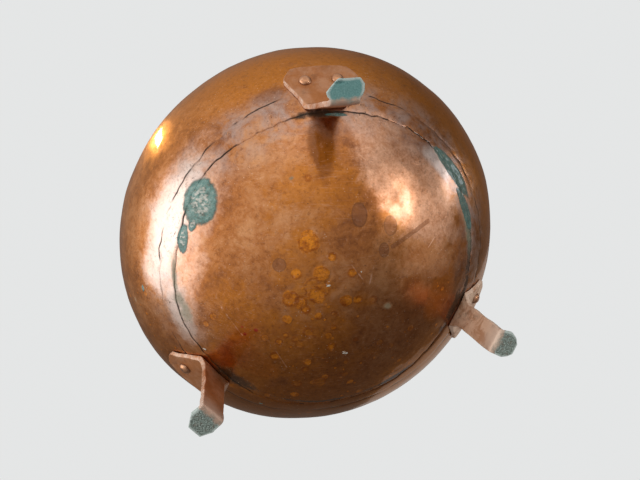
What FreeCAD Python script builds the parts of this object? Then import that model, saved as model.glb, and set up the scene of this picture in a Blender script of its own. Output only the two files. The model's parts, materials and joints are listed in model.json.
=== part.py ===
"""Copper alembic still: a round boiler on three riveted strap feet, two drop handles, and a lift-off head.

The origin is on the floor under the boiler's axis. +Z is up and the beak points along +X. Millimetres.
"""
import FreeCAD
import Part
import Sketcher
import math
import os

SIZES = {
    # boiler outline: a shallow half spheroid below the widest circle and another above it
    "body_radius": 150.0,
    "equator_height": 150.0,
    "lower_depth": 127.5,
    "upper_rise": 118.0,
    "copper": 1.6,
    "lower_lap_bottom": 55.6,
    "lower_lap_top": 64.5,
    "upper_lap_bottom": 197.0,
    "upper_lap_top": 208.0,
    # neck
    "neck_bore": 50.0,
    "neck_wall": 2.2,
    "neck_top": 300.0,
    "skirt_bottom": 245.0,
    "skirt_radius": 76.0,
    "skirt_edge": 256.0,
    "skirt_shoulder": 266.0,
    "skirt_sweep": 10.0,
    "rim_bead": 3.4,
    # strap feet
    "strap": 3.2,
    "strap_inner": 101.6,
    "toe_end": 117.0,
    "toe_clip": 3.2,
    "heel_round": 2.6,
    "leg_half": 8.1,
    "leg_top": 49.0,
    "leg_flare": 16.0,
    "wing_half": 25.3,
    "wing_height": 75.0,
    "plate_half": 19.0,
    "plate_top": 83.0,
    "rear_azimuth": 180.0,
    "left_azimuth": 49.6,
    "right_azimuth": 293.2,
    # foot rivets
    "foot_rivet_height": 72.0,
    "foot_rivet_spread": 5.1,
    "rivet_shank": 2.0,
    "rivet_head": 4.2,
    "rivet_crown": 2.0,
    "rivet_tail": 2.9,
    "burr_radius": 4.6,
    "burr_thick": 1.0,
    "burr_gap": 0.15,
    # drop handles and their lugs
    "handle_rod": 4.0,
    "handle_half": 31.5,
    "handle_drop": 46.0,
    "handle_bend": 9.0,
    "pin_bend": 6.0,
    "pin_reach": 44.0,
    "pivot_out": 117.0,
    "pivot_height": 232.0,
    "rest_lean": 38.0,
    "lug_hole": 4.1,
    "lug_eye": 8.0,
    "lug_near": 37.6,
    "lug_thick": 5.0,
    "lug_plate": 2.2,
    "lug_plate_wide": 18.4,
    "lug_plate_low": 216.0,
    "lug_plate_tall": 31.0,
    "lug_rivet_offset": 49.5,
    "lug_rivet_low": 223.0,
    "lug_rivet_high": 239.5,
    # head
    "lute_thick": 2.0,
    "lute_inner": 50.3,
    "lute_outer": 57.0,
    "spigot_bottom": 268.0,
    "spigot_inner": 47.7,
    "spigot_tip": 49.1,
    "spigot_top": 49.7,
    "flange_outer": 58.0,
    "head_sheet": 1.4,
    "pan_inner": 48.0,
    "pan_flat": 54.0,
    "head_radius": 90.0,
    "pan_rise": 13.4,
    "pan_bend_in": 0.5,
    "pan_bend_up": 1.0,
    "head_equator": 330.0,
    "head_rise": 94.6,
    "dome_lap": 10.0,
    "throat_inner": 48.0,
    "throat_foot": 53.0,
    "throat_top": 340.0,
    # beak
    "beak_tilt": 8.0,
    "beak_axis_height": 358.6,
    "beak_start": 60.0,
    "beak_root": 18.5,
    "beak_taper": 160.0,
    "beak_end_length": 26.0,
    "beak_tip": 9.5,
    "beak_wall": 1.3,
    "saddle_radius": 25.0,
    "saddle_thick": 1.5,
    "saddle_rivet_aside": 17.5,
    "saddle_rivet_rise": 12.0,
    "saddle_shank": 1.3,
    "saddle_head": 2.7,
    "saddle_tail": 1.9,
    "ring_bead": 2.3,
    # finial
    "finial_foot": 14.0,
    "finial_foot_top": 430.5,
    "finial_stem": 8.7,
    "finial_neck": 5.0,
    "finial_knob": 11.5,
    "finial_knob_height": 447.0,
    "finial_button": 3.6,
    "finial_button_height": 459.9,
    "finial_stud": 3.0,
    "finial_stud_bottom": 417.0,
    "nut_radius": 6.5,
    "nut_thick": 3.6,
    "nut_bottom": 419.6,
    # fits and shares that several pieces use
    "snug": 0.05,
    "tail_share": 0.45,
    "bead_stand": 0.4,
    # lengths that only have to reach past what they cut
    "overshoot": 1.0,
    "hole_length": 24.0,
    "clear_of_all": 200.0,
}


class Size:
    """A dimension that keeps both its value and the sheet expression it comes from."""

    def __init__(self, text, value):
        self.text = text
        self.value = value

    def _with(self, other, sign, value_of):
        other_text = other.text if isinstance(other, Size) else repr(float(other))
        other_value = other.value if isinstance(other, Size) else float(other)
        return Size(f"({self.text} {sign} {other_text})", value_of(self.value, other_value))

    def __add__(self, other):
        return self._with(other, "+", lambda a, b: a + b)

    def __sub__(self, other):
        return self._with(other, "-", lambda a, b: a - b)

    def __mul__(self, other):
        return self._with(other, "*", lambda a, b: a * b)

    def __neg__(self):
        return self * -1.0


class Sheet:
    """The spreadsheet of driving dimensions; each one is read as an attribute."""

    def __init__(self, cells):
        self.cells = cells

    def __getattr__(self, alias):
        return Size(f"Sizes.{alias}", float(self.cells.get(alias)))


doc = FreeCAD.newDocument("AlembicStill")


def fill_sheet(sizes):
    cells = doc.addObject("Spreadsheet::Sheet", "Sizes")
    for row, (alias, value) in enumerate(sizes.items(), start=1):
        cells.set(f"A{row}", alias)
        cells.set(f"B{row}", str(value))
        cells.setAlias(f"B{row}", alias)
    doc.recompute()
    return Sheet(cells)


S = fill_sheet(SIZES)
ORIGIN = FreeCAD.Vector(0, 0, 0)
UP = FreeCAD.Vector(0, 0, 1)
ALONG_X = FreeCAD.Vector(1, 0, 0)
ALONG_Y = FreeCAD.Vector(0, 1, 0)
ZERO = Size("0.0", 0.0)


# ---- small building blocks ----

def primitive(kind, name, turn=None, at=None, **sizes):
    """A Part primitive with its sizes and position bound to the sheet."""
    made = doc.addObject(kind, name)
    for prop, size in sizes.items():
        made.setExpression(prop, size.text)
    if turn is not None:
        made.Placement = FreeCAD.Placement(ORIGIN, turn)
    for axis, size in (at or {}).items():
        made.setExpression(f"Placement.Base.{axis}", size.text)
    return made


def rod(name, radius, length, turn=None, at=None):
    """A round bar along its own Z."""
    return primitive("Part::Cylinder", name, turn, at, Radius=radius, Height=length)


def block(name, length, width, height, at):
    """A rectangular block from its lowest corner."""
    return primitive("Part::Box", name, None, at, Length=length, Width=width, Height=height)


def cut(name, base, tool):
    made = doc.addObject("Part::Cut", name)
    made.Base = base
    made.Tool = tool
    return made


def common(name, base, tool):
    made = doc.addObject("Part::Common", name)
    made.Base = base
    made.Tool = tool
    return made


def fuse(name, shapes):
    made = doc.addObject("Part::MultiFuse", name)
    made.Shapes = shapes
    return made


def sketch_on(body, plane_role, name):
    plane = next(f for f in body.Origin.OriginFeatures if f.Role == plane_role)
    sketch = body.newObject("Sketcher::SketchObject", name)
    sketch.AttachmentSupport = [(plane, "")]
    sketch.MapMode = "FlatFace"
    return sketch


def draw_outline(sketch, corners):
    """A closed outline of straight edges whose every corner is held by sheet expressions."""
    points = [FreeCAD.Vector(x.value, y.value, 0) for x, y in corners]
    count = len(points)
    for i in range(count):
        sketch.addGeometry(Part.LineSegment(points[i], points[(i + 1) % count]), False)
    for i in range(count):
        sketch.addConstraint(Sketcher.Constraint("Coincident", i, 2, (i + 1) % count, 1))
    for i, (x, y) in enumerate(corners):
        for kind, size in (("DistanceX", x), ("DistanceY", y)):
            held = sketch.addConstraint(Sketcher.Constraint(kind, -1, 1, i, 1, size.value))
            sketch.setExpression(f"Constraints[{held}]", size.text)


def turned(name, corners):
    """A body turned about Z from an outline of (radius, height) corners."""
    body = doc.addObject("PartDesign::Body", name)
    sketch = sketch_on(body, "XZ_Plane", f"{name}_outline")
    draw_outline(sketch, corners)
    revolution = body.newObject("PartDesign::Revolution", f"{name}_turn")
    revolution.Profile = sketch
    revolution.ReferenceAxis = (sketch, ["V_Axis"])
    revolution.Angle = 360.0
    doc.recompute()
    return body


def rounded(body, name, radius, chosen):
    """Adds a fillet to the edges whose middle passes the chosen test."""
    base = body.Tip
    names = []
    for number, edge in enumerate(base.Shape.Edges, start=1):
        first, last = edge.ParameterRange
        if chosen(edge.valueAt((first + last) / 2)):
            names.append(f"Edge{number}")
    fillet = body.newObject("PartDesign::Fillet", name)
    fillet.Base = (base, names)
    fillet.setExpression("Radius", radius.text)
    doc.recompute()
    return body


def half_spheroid(name, radius, rise, centre_height, upper):
    low, high = (0, 90) if upper else (-90, 0)
    at = {"z": centre_height}
    half = primitive("Part::Ellipsoid", name, at=at, Radius1=rise, Radius2=radius, Radius3=radius)
    half.Angle1 = low
    half.Angle2 = high
    return half


def boiler_form(name, grow):
    """The solid inside the boiler's outline, grown outwards by a distance."""
    radius = S.body_radius + grow
    lower = half_spheroid(f"{name}_lower", radius, S.lower_depth + grow, S.equator_height, False)
    upper = half_spheroid(f"{name}_upper", radius, S.upper_rise + grow, S.equator_height, True)
    return fuse(name, [lower, upper])


def slab(name, bottom, top):
    """Everything in the still between two heights."""
    return rod(name, S.clear_of_all, top - bottom, at={"z": bottom})


def boiler_point(azimuth, height, upper):
    """A point on the boiler's outline and the outward direction there, from the sheet's values."""
    radius = S.body_radius.value
    rise = S.upper_rise.value if upper else S.lower_depth.value
    grow = S.copper.value if upper else 0.0
    across, tall = radius + grow, rise + grow
    above = height - S.equator_height.value
    reach = across * math.sqrt(1.0 - (above / tall) ** 2)
    outward = FreeCAD.Vector(reach / across ** 2, 0, above / tall ** 2).normalize()
    spin = FreeCAD.Rotation(UP, azimuth)
    point = FreeCAD.Vector(reach, 0, height)
    return spin.multVec(point), spin.multVec(outward)


def facing(point, outward):
    """A placement whose own Z axis leaves the surface at a point."""
    return FreeCAD.Placement(point, FreeCAD.Rotation(UP, outward))


def drill(name, place, radius):
    """A hole's cylinder, centred on a surface point."""
    made = rod(name, radius, S.hole_length)
    made.Placement = place.multiply(FreeCAD.Placement(UP * (-S.hole_length.value / 2), FreeCAD.Rotation()))
    return made


def rivet_shape(top, bottom, shank, head, crown, tail):
    """One rivet along Z: a domed head on top of the stack and a spread tail below it."""
    tail_height = shank * S.tail_share.value
    corners = [(0, bottom - tail_height), (tail, bottom - tail_height), (tail, bottom), (shank, bottom)]
    corners += [(shank, top), (head, top)]
    points = [FreeCAD.Vector(x, 0, z) for x, z in corners]
    peak = FreeCAD.Vector(0, 0, top + crown)
    ball = (head ** 2 + crown ** 2) / (2 * crown)
    lean = math.asin(head / ball) / 2
    middle = FreeCAD.Vector(ball * math.sin(lean), 0, top + crown - ball * (1 - math.cos(lean)))
    edges = [Part.makeLine(a, b) for a, b in zip(points, points[1:])]
    edges.append(Part.Arc(points[-1], middle, peak).toShape())
    edges.append(Part.makeLine(peak, points[0]))
    return Part.Face(Part.Wire(edges)).revolve(ORIGIN, UP, 360)


def group(name, shape, places):
    """Separate copies of one small piece, as a single node."""
    node = doc.addObject("Part::Feature", name)
    node.Shape = Part.makeCompound([shape.transformed(place.toMatrix(), True) for place in places])
    return node


# ---- where the fasteners go ----

FEET = {"rear_foot": S.rear_azimuth, "left_foot": S.left_azimuth, "right_foot": S.right_azimuth}
SIDES = {"left": 0.0, "right": 180.0}


def foot_rivet_places(azimuth):
    spread = S.foot_rivet_spread.value
    points = [boiler_point(azimuth + side * spread, S.foot_rivet_height.value, False) for side in (-1, 1)]
    return [facing(point, outward) for point, outward in points]


def lug_rivet_places(turn):
    """Two rivets outboard of each of a handle's two lugs, on the shoulder."""
    places = []
    for side in (-1, 1):
        for height in (S.lug_rivet_low.value, S.lug_rivet_high.value):
            reach = boiler_point(0, height, True)[0].x
            azimuth = 90 + turn - side * math.degrees(math.asin(S.lug_rivet_offset.value / reach))
            point, outward = boiler_point(azimuth, height, True)
            places.append(facing(point, outward))
    return places


def saddle_rivet_places():
    """Four rivets round the beak's root, on the head's dome."""
    across = S.head_radius.value + S.head_sheet.value
    tall = S.head_rise.value + S.head_sheet.value
    root_height = S.beak_axis_height.value - across * math.tan(math.radians(S.beak_tilt.value))
    places = []
    for side in (-1, 1):
        for rise in (-1, 1):
            above = root_height + rise * S.saddle_rivet_rise.value - S.head_equator.value
            reach = across * math.sqrt(1.0 - (above / tall) ** 2)
            aside = side * S.saddle_rivet_aside.value
            along = math.sqrt(reach ** 2 - aside ** 2)
            point = FreeCAD.Vector(along, aside, root_height + rise * S.saddle_rivet_rise.value)
            outward = FreeCAD.Vector(along, aside, above * (across / tall) ** 2).normalize()
            places.append(facing(point, outward))
    return places


ALL_FOOT_RIVETS = [place for azimuth in FEET.values() for place in foot_rivet_places(azimuth.value)]
ALL_LUG_RIVETS = [place for turn in SIDES.values() for place in lug_rivet_places(turn)]


# ---- boiler ----

skin = boiler_form("skin", ZERO)
inner_skin = boiler_form("inner_skin", -S.copper)
shoulder_skin = boiler_form("shoulder_skin", S.copper)


def drills(name, places, radius):
    return fuse(name, [drill(f"{name}_{i}", place, radius) for i, place in enumerate(places, start=1)])


def bottom_bowl():
    """The raised bottom, whose edge goes up inside the belly's lap."""
    hollow = boiler_form("bowl_hollow", -(S.copper * 2))
    wall = cut("bowl_wall", inner_skin, hollow)
    return common("bottom_bowl", wall, slab("below_lap", ZERO, S.lower_lap_top))


def belly():
    wall = cut("belly_wall", skin, inner_skin)
    band = common("belly_band", wall, slab("belly_span", S.lower_lap_bottom, S.upper_lap_top))
    return cut("belly", band, drills("belly_drills", ALL_FOOT_RIVETS, S.rivet_shank + S.snug))


def shoulder():
    """The upper sheet, lapped outside the belly and open at the neck."""
    wall = cut("shoulder_wall", shoulder_skin, skin)
    cap = common("shoulder_cap", wall, slab("above_lap", S.upper_lap_bottom, S.neck_top))
    bore = rod("shoulder_bore", S.neck_bore, S.neck_top)
    opened = cut("shoulder_opened", cap, bore)
    return cut("shoulder", opened, drills("shoulder_drills", ALL_LUG_RIVETS, S.rivet_shank + S.snug))


def neck_collar():
    """The neck tube with a swept skirt that sits on the shoulder."""
    outer = S.neck_bore + S.neck_wall
    corners = [
        (S.neck_bore, S.skirt_bottom),
        (S.skirt_radius, S.skirt_bottom),
        (S.skirt_radius, S.skirt_edge),
        (outer, S.skirt_shoulder),
        (outer, S.neck_top),
        (S.neck_bore, S.neck_top),
    ]
    body = turned("neck_tube", corners)
    rounded(body, "neck_sweep", S.skirt_sweep, lambda mid: abs(mid.z - S.skirt_shoulder.value) < 0.01)
    return cut("neck_collar", body, shoulder_skin)


def neck_rim():
    """A half-round bead wrapped round the neck's mouth."""
    outer = S.neck_bore + S.neck_wall
    middle = outer + S.rim_bead * S.bead_stand
    at = {"z": S.neck_top - S.rim_bead}
    bead = primitive("Part::Torus", "rim_bead", at=at, Radius1=middle, Radius2=S.rim_bead)
    return cut("neck_rim", bead, rod("rim_tube", outer, S.neck_top + S.rim_bead))


# ---- feet ----

def strap_outline(body, name):
    """The front view of a strap foot: a leg that flares into a plate with two wings."""
    halves = [
        (S.leg_half, ZERO),
        (S.leg_half, S.leg_top),
        (S.wing_half, S.wing_height),
        (S.plate_half, S.plate_top),
    ]
    sketch = sketch_on(body, "YZ_Plane", name)
    draw_outline(sketch, halves + [(-across, height) for across, height in reversed(halves)])
    return sketch


def strap_blank(name, start, depth):
    """The strap's outline padded outwards from a distance in front of the axis."""
    body = doc.addObject("PartDesign::Body", name)
    sketch = strap_outline(body, f"{name}_outline")
    sketch.setExpression("AttachmentOffset.Base.z", start.text)
    pad = body.newObject("PartDesign::Pad", f"{name}_pad")
    pad.Profile = sketch
    pad.setExpression("Length", depth.text)
    doc.recompute()
    return rounded(body, f"{name}_flare", S.leg_flare, lambda mid: abs(mid.z - S.leg_top.value) < 0.01)


def toe(name):
    """The short end turned outwards, with clipped corners."""
    body = doc.addObject("PartDesign::Body", name)
    sketch = sketch_on(body, "XY_Plane", f"{name}_outline")
    halves = [
        (S.strap_inner, S.leg_half),
        (S.toe_end - S.toe_clip, S.leg_half),
        (S.toe_end, S.leg_half - S.toe_clip),
    ]
    draw_outline(sketch, halves + [(along, -across) for along, across in reversed(halves)])
    pad = body.newObject("PartDesign::Pad", f"{name}_pad")
    pad.Profile = sketch
    pad.setExpression("Length", S.strap.text)
    doc.recompute()
    return body


def foot_plate_skin():
    """A layer as thick as the strap, lying on the boiler."""
    return cut("foot_plate_skin", boiler_form("strap_skin", S.strap), skin)


def heel_round(name):
    """What is left outside the rounded heel of the bend."""
    reach = S.leg_half + S.overshoot
    corner = block(
        f"{name}_corner",
        S.heel_round + S.overshoot,
        reach * 2,
        S.heel_round * 2,
        at={"x": S.strap_inner - S.overshoot, "y": -reach, "z": -S.heel_round},
    )
    roller = rod(
        f"{name}_roller",
        S.heel_round,
        (reach + S.overshoot) * 2,
        turn=FreeCAD.Rotation(ALONG_X, -90),
        at={"x": S.strap_inner + S.heel_round, "y": -(reach + S.overshoot), "z": S.heel_round},
    )
    return cut(f"{name}_heel", corner, roller)


def foot(label, azimuth, plate_skin):
    leg = strap_blank(f"{label}_leg", S.strap_inner, S.strap)
    reach = strap_blank(f"{label}_reach", S.strap_inner, S.clear_of_all)
    plate = common(f"{label}_plate", reach, plate_skin)
    strap = fuse(f"{label}_strap", [leg, toe(f"{label}_toe"), plate])
    bent = cut(f"{label}_bent", strap, heel_round(label))
    seated = cut(f"{label}_seated", bent, skin)
    node = cut(label, seated, drills(f"{label}_drills", foot_rivet_places(0.0), S.rivet_shank + S.snug))
    node.Placement = FreeCAD.Placement(ORIGIN, UP, azimuth.value)
    node.setExpression("Placement.Rotation.Angle", azimuth.text)
    return node


def boiler_rivet(outer_layer, inner_layer):
    """A rivet through the boiler's copper and a layer on each side of it."""
    bottom = -(S.copper.value + S.burr_gap.value + inner_layer)
    crown, tail = S.rivet_crown.value, S.rivet_tail.value
    return rivet_shape(outer_layer, bottom, S.rivet_shank.value, S.rivet_head.value, crown, tail)


def foot_rivets():
    return group("foot_rivets", boiler_rivet(S.strap.value, S.burr_thick.value), ALL_FOOT_RIVETS)


def foot_burrs():
    """Washers under the foot rivets' tails, inside the boiler."""
    place = UP * -(S.copper.value + S.burr_gap.value + S.burr_thick.value)
    disc = Part.makeCylinder(S.burr_radius.value, S.burr_thick.value, place)
    hole = Part.makeCylinder(S.rivet_shank.value + S.snug.value, S.burr_thick.value, place)
    return group("foot_burrs", disc.cut(hole), ALL_FOOT_RIVETS)


# ---- handles ----

def lug(label, side):
    """One forged lug on the shoulder, with its eye; side is -1 or 1 along X."""
    near = S.lug_near if side > 0 else -(S.lug_near + S.lug_thick)
    across = FreeCAD.Rotation(ALONG_Y, 90)
    eye_at = {"x": near, "y": S.pivot_out, "z": S.pivot_height}
    eye = rod(f"{label}_eye", S.lug_eye, S.lug_thick, turn=across, at=eye_at)
    web_at = {"x": near, "y": S.pivot_out - S.lug_eye * 4, "z": S.pivot_height - S.lug_eye}
    web = block(f"{label}_web", S.lug_thick, S.lug_eye * 4, S.lug_eye * 2, at=web_at)
    stalk = cut(f"{label}_stalk", fuse(f"{label}_upright", [eye, web]), shoulder_skin)
    plate_x = S.lug_near if side > 0 else -(S.lug_near + S.lug_plate_wide)
    tile_at = {"x": plate_x, "y": S.neck_bore, "z": S.lug_plate_low}
    tile = block(f"{label}_tile", S.lug_plate_wide, S.clear_of_all, S.lug_plate_tall, at=tile_at)
    base = common(f"{label}_base", lug_plate_skin, tile)
    hole_at = {"x": near - S.overshoot, "y": S.pivot_out, "z": S.pivot_height}
    hole = rod(f"{label}_hole", S.lug_hole, S.lug_thick + S.overshoot * 2, turn=across, at=hole_at)
    return cut(f"{label}_bored", fuse(f"{label}_forging", [stalk, base]), hole)


def lugs(name, turn):
    """A handle's pair of lugs."""
    pair = doc.addObject("Part::Compound", f"{name}_pair")
    pair.Links = [lug(f"{name}_{word}", side) for word, side in (("near", -1), ("far", 1))]
    node = cut(name, pair, drills(f"{name}_drills", lug_rivet_places(0.0), S.rivet_shank + S.snug))
    node.Placement = FreeCAD.Placement(ORIGIN, UP, turn)
    return node


def lug_rivets():
    return group("lug_rivets", boiler_rivet(S.lug_plate.value, 0.0), ALL_LUG_RIVETS)


def quarter_bend(name, bend, angle, at_x, at_y):
    """A quarter of a ring in the handle's own plane, starting at an angle."""
    turn = FreeCAD.Rotation(UP, angle)
    at = {"x": at_x, "y": at_y}
    made = primitive("Part::Torus", name, turn=turn, at=at, Radius1=bend, Radius2=S.handle_rod)
    made.Angle3 = 90
    return made


def half_handle(name, side):
    """The pin, elbow, arm and corner at one end of a handle, in the handle's own plane; side is -1 or 1."""
    across = FreeCAD.Rotation(ALONG_Y, 90)
    down = FreeCAD.Rotation(ALONG_X, 90)
    pin_start = S.handle_half + S.pin_bend if side > 0 else -S.pin_reach
    pin_length = S.pin_reach - S.handle_half - S.pin_bend
    elbow_x = (S.handle_half + S.pin_bend) * side
    arm_at = {"x": S.handle_half * side, "y": -S.pin_bend}
    arm_length = S.handle_drop - S.pin_bend - S.handle_bend
    corner_x = (S.handle_half - S.handle_bend) * side
    corner_y = -(S.handle_drop - S.handle_bend)
    return [
        rod(f"{name}_pin", S.handle_rod, pin_length, turn=across, at={"x": pin_start}),
        quarter_bend(f"{name}_elbow", S.pin_bend, 90 if side > 0 else 0, elbow_x, -S.pin_bend),
        rod(f"{name}_arm", S.handle_rod, arm_length, turn=down, at=arm_at),
        quarter_bend(f"{name}_corner", S.handle_bend, 270 if side > 0 else 180, corner_x, corner_y),
    ]


def handle(name, turn):
    """A round-bar drop handle, laid out in its own XY plane with its pins on X, then hung on the lugs."""
    half_grip = S.handle_half - S.handle_bend
    grip_at = {"x": -half_grip, "y": -S.handle_drop}
    across = FreeCAD.Rotation(ALONG_Y, 90)
    grip = rod(f"{name}_grip", S.handle_rod, half_grip * 2, turn=across, at=grip_at)
    node = fuse(name, half_handle(f"{name}_near", -1) + half_handle(f"{name}_far", 1) + [grip])
    hang = FreeCAD.Rotation(ALONG_X, 90 + S.rest_lean.value)
    pivot = FreeCAD.Vector(0, S.pivot_out.value, S.pivot_height.value)
    node.Placement = FreeCAD.Placement(ORIGIN, UP, turn).multiply(FreeCAD.Placement(pivot, hang))
    return node


# ---- head ----

def lute_ring():
    """The flat packing ring between the neck's mouth and the head."""
    corners = [
        (S.lute_inner, S.neck_top),
        (S.lute_outer, S.neck_top),
        (S.lute_outer, S.neck_top + S.lute_thick),
        (S.lute_inner, S.neck_top + S.lute_thick),
    ]
    return turned("lute_ring", corners)


def head_spigot():
    """The tapered tube that drops into the neck, with the flange that rests on the packing."""
    seat = S.neck_top + S.lute_thick
    corners = [
        (S.spigot_inner, S.spigot_bottom),
        (S.spigot_tip, S.spigot_bottom),
        (S.spigot_top, seat),
        (S.flange_outer, seat),
        (S.flange_outer, seat + S.copper),
        (S.spigot_inner, seat + S.copper),
    ]
    return turned("head_spigot", corners)


def head_pan():
    """The shallow underside of the head; its outer trough gathers what runs down the dome."""
    floor = S.neck_top + S.lute_thick + S.copper
    inner = S.head_radius - S.head_sheet
    corners = [
        (S.pan_inner, floor),
        (S.pan_flat, floor),
        (S.head_radius, floor + S.pan_rise),
        (S.head_radius, S.head_equator),
        (inner, S.head_equator),
        (inner, floor + S.pan_rise + S.pan_bend_up),
        (S.pan_flat - S.pan_bend_in, floor + S.head_sheet),
        (S.pan_inner, floor + S.head_sheet),
    ]
    return turned("head_pan", corners)


def vapour_throat():
    """The wall inside the head that keeps the gathered liquid out of the neck."""
    floor = S.neck_top + S.lute_thick + S.copper + S.head_sheet
    outer = S.throat_inner + S.head_sheet
    corners = [
        (S.throat_inner, floor),
        (S.throat_foot, floor),
        (S.throat_foot, floor + S.head_sheet),
        (outer, floor + S.head_sheet),
        (outer, S.throat_top),
        (S.throat_inner, S.throat_top),
    ]
    return turned("vapour_throat", corners)


def dome_form(name, grow):
    """The solid inside the head's dome, with the short band below its widest circle."""
    cap = half_spheroid(f"{name}_cap", S.head_radius + grow, S.head_rise + grow, S.head_equator, True)
    band = rod(f"{name}_band", S.head_radius + grow, S.dome_lap, at={"z": S.head_equator - S.dome_lap})
    return fuse(name, [cap, band])


def beak_direction():
    tilt = math.radians(S.beak_tilt.value)
    return FreeCAD.Vector(math.cos(tilt), 0, -math.sin(tilt))


def along_beak(distance):
    """A placement on the beak's axis, its Z along the beak, at a distance from the head's axis."""
    point = UP * S.beak_axis_height.value + beak_direction() * distance
    return FreeCAD.Placement(point, FreeCAD.Rotation(ALONG_Y, 90 + S.beak_tilt.value))


def beak_plug():
    """The beak's tapered outside, as a solid."""
    root, tip = S.beak_root, S.beak_tip
    plug = primitive("Part::Cone", "beak_plug", Radius1=root, Radius2=tip, Height=S.beak_taper)
    plug.Placement = along_beak(S.beak_start.value)
    return plug


def head_dome(inner_form, outer_form, plug):
    shell = cut("dome_shell", outer_form, inner_form)
    stud = rod("dome_stud_hole", S.finial_stud + S.snug, S.finial_knob_height)
    rivets = drills("dome_drills", saddle_rivet_places(), S.saddle_shank + S.snug)
    return cut("head_dome", cut("dome_for_beak", shell, plug), fuse("dome_holes", [stud, rivets]))


def beak_tube(inner_form):
    """The tapered beak and its straight end, trimmed flush inside the dome."""
    full = S.beak_taper + S.beak_end_length
    corners = [
        (S.beak_root - S.beak_wall, ZERO),
        (S.beak_root, ZERO),
        (S.beak_tip, S.beak_taper),
        (S.beak_tip, full),
        (S.beak_tip - S.beak_wall, full),
        (S.beak_tip - S.beak_wall, S.beak_taper),
    ]
    body = turned("beak_blank", corners)
    body.Placement = along_beak(S.beak_start.value)
    return cut("beak_tube", body, inner_form)


def beak_saddle(outer_form, plug):
    """The collar that spreads over the dome round the beak's root."""
    layer = cut("saddle_layer", dome_form("saddle_skin", S.head_sheet + S.saddle_thick), outer_form)
    disc = rod("saddle_disc", S.saddle_radius, S.beak_start)
    disc.Placement = along_beak(S.beak_start.value)
    ring = cut("saddle_ring", common("saddle_patch", layer, disc), plug)
    return cut("beak_saddle", ring, drills("saddle_drills", saddle_rivet_places(), S.saddle_shank + S.snug))


def saddle_rivets():
    shank, head, tail = S.saddle_shank.value, S.saddle_head.value, S.saddle_tail.value
    bottom = -(S.head_sheet.value + S.burr_gap.value)
    shape = rivet_shape(S.saddle_thick.value, bottom, shank, head, shank, tail)
    return group("saddle_rivets", shape, saddle_rivet_places())


def beak_ring(plug):
    """A bead at the end of the taper, which stops a receiver pushed over the beak's straight end."""
    middle = S.beak_tip + S.ring_bead * S.bead_stand
    bead = primitive("Part::Torus", "ring_bead", Radius1=middle, Radius2=S.ring_bead)
    bead.Placement = along_beak(S.beak_start.value + S.beak_taper.value - S.ring_bead.value)
    return cut("beak_ring", bead, plug)


def finial(outer_form):
    """The turned brass knob, its stud and its foot, which sits on the dome."""
    foot_bottom = S.head_equator + S.head_rise - S.overshoot * 2
    foot_disc = rod("finial_disc", S.finial_foot, S.finial_foot_top - foot_bottom, at={"z": foot_bottom})
    seated = cut("finial_seated", foot_disc, outer_form)
    knob_bottom = S.finial_knob_height - S.finial_knob
    stem = primitive(
        "Part::Cone",
        "finial_stem",
        at={"z": S.finial_foot_top},
        Radius1=S.finial_stem,
        Radius2=S.finial_neck,
        Height=knob_bottom - S.finial_foot_top + S.overshoot * 2,
    )
    knob = primitive("Part::Sphere", "finial_ball", at={"z": S.finial_knob_height}, Radius=S.finial_knob)
    button_at = {"z": S.finial_button_height}
    button = primitive("Part::Sphere", "finial_top", at=button_at, Radius=S.finial_button)
    stud_length = S.finial_foot_top - S.finial_stud_bottom + S.overshoot * 2
    stud = rod("finial_stud", S.finial_stud, stud_length, at={"z": S.finial_stud_bottom})
    return fuse("finial", [seated, stem, knob, button, stud])


def finial_nut():
    blank_at = {"z": S.nut_bottom}
    blank = primitive("Part::Prism", "nut_blank", at=blank_at, Circumradius=S.nut_radius, Height=S.nut_thick)
    blank.Polygon = 6
    hole_at = {"z": S.nut_bottom - S.overshoot}
    hole = rod("nut_hole", S.finial_stud + S.snug, S.nut_thick + S.overshoot * 2, at=hole_at)
    return cut("finial_nut", blank, hole)


# ---- the whole still ----

plate_skin = foot_plate_skin()
lug_plate_skin = cut("lug_plate_skin", boiler_form("lug_skin", S.copper + S.lug_plate), shoulder_skin)
dome_inside = dome_form("dome_inside", ZERO)
dome_outside = dome_form("dome_outside", S.head_sheet)
beak_solid = beak_plug()

nodes = [bottom_bowl(), belly(), shoulder(), neck_collar(), neck_rim()]
nodes += [foot(label, azimuth, plate_skin) for label, azimuth in FEET.items()]
nodes += [foot_rivets(), foot_burrs(), lug_rivets()]
for side_name, side_turn in SIDES.items():
    nodes.append(lugs(f"{side_name}_lugs", side_turn))
    nodes.append(handle(f"{side_name}_handle", side_turn))
nodes += [lute_ring(), head_spigot(), head_pan(), vapour_throat()]
nodes += [head_dome(dome_inside, dome_outside, beak_solid), beak_tube(dome_inside)]
nodes += [beak_saddle(dome_outside, beak_solid), saddle_rivets(), beak_ring(beak_solid)]
nodes += [finial(dome_outside), finial_nut()]
doc.recompute()

for made in doc.Objects:
    if "Invalid" in made.State or "Error" in made.State:
        raise RuntimeError(f"{made.Name} failed: {made.State}")
for node in nodes:
    if node.Shape.isNull() or not node.Shape.isValid():
        raise RuntimeError(f"{node.Label} has no valid shape")

os.makedirs("parts", exist_ok=True)
for node in nodes:
    node.Shape.exportStep(f"parts/{node.Label}.step")
    print(f"{node.Label:16s} solids {len(node.Shape.Solids)}  volume {node.Shape.Volume:10.1f}")
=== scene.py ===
"""Looks for the copper alembic still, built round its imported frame.

The frame's axes: the origin is on the floor under the boiler's axis, +Z is up and the beak points along +X.
Shapes are worked out in millimetres and written in metres. Azimuths are degrees from +X towards +Y.
"""
import json
import math

import bpy
import numpy as np
from mathutils import Matrix, Vector
from mathutils.kdtree import KDTree


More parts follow.
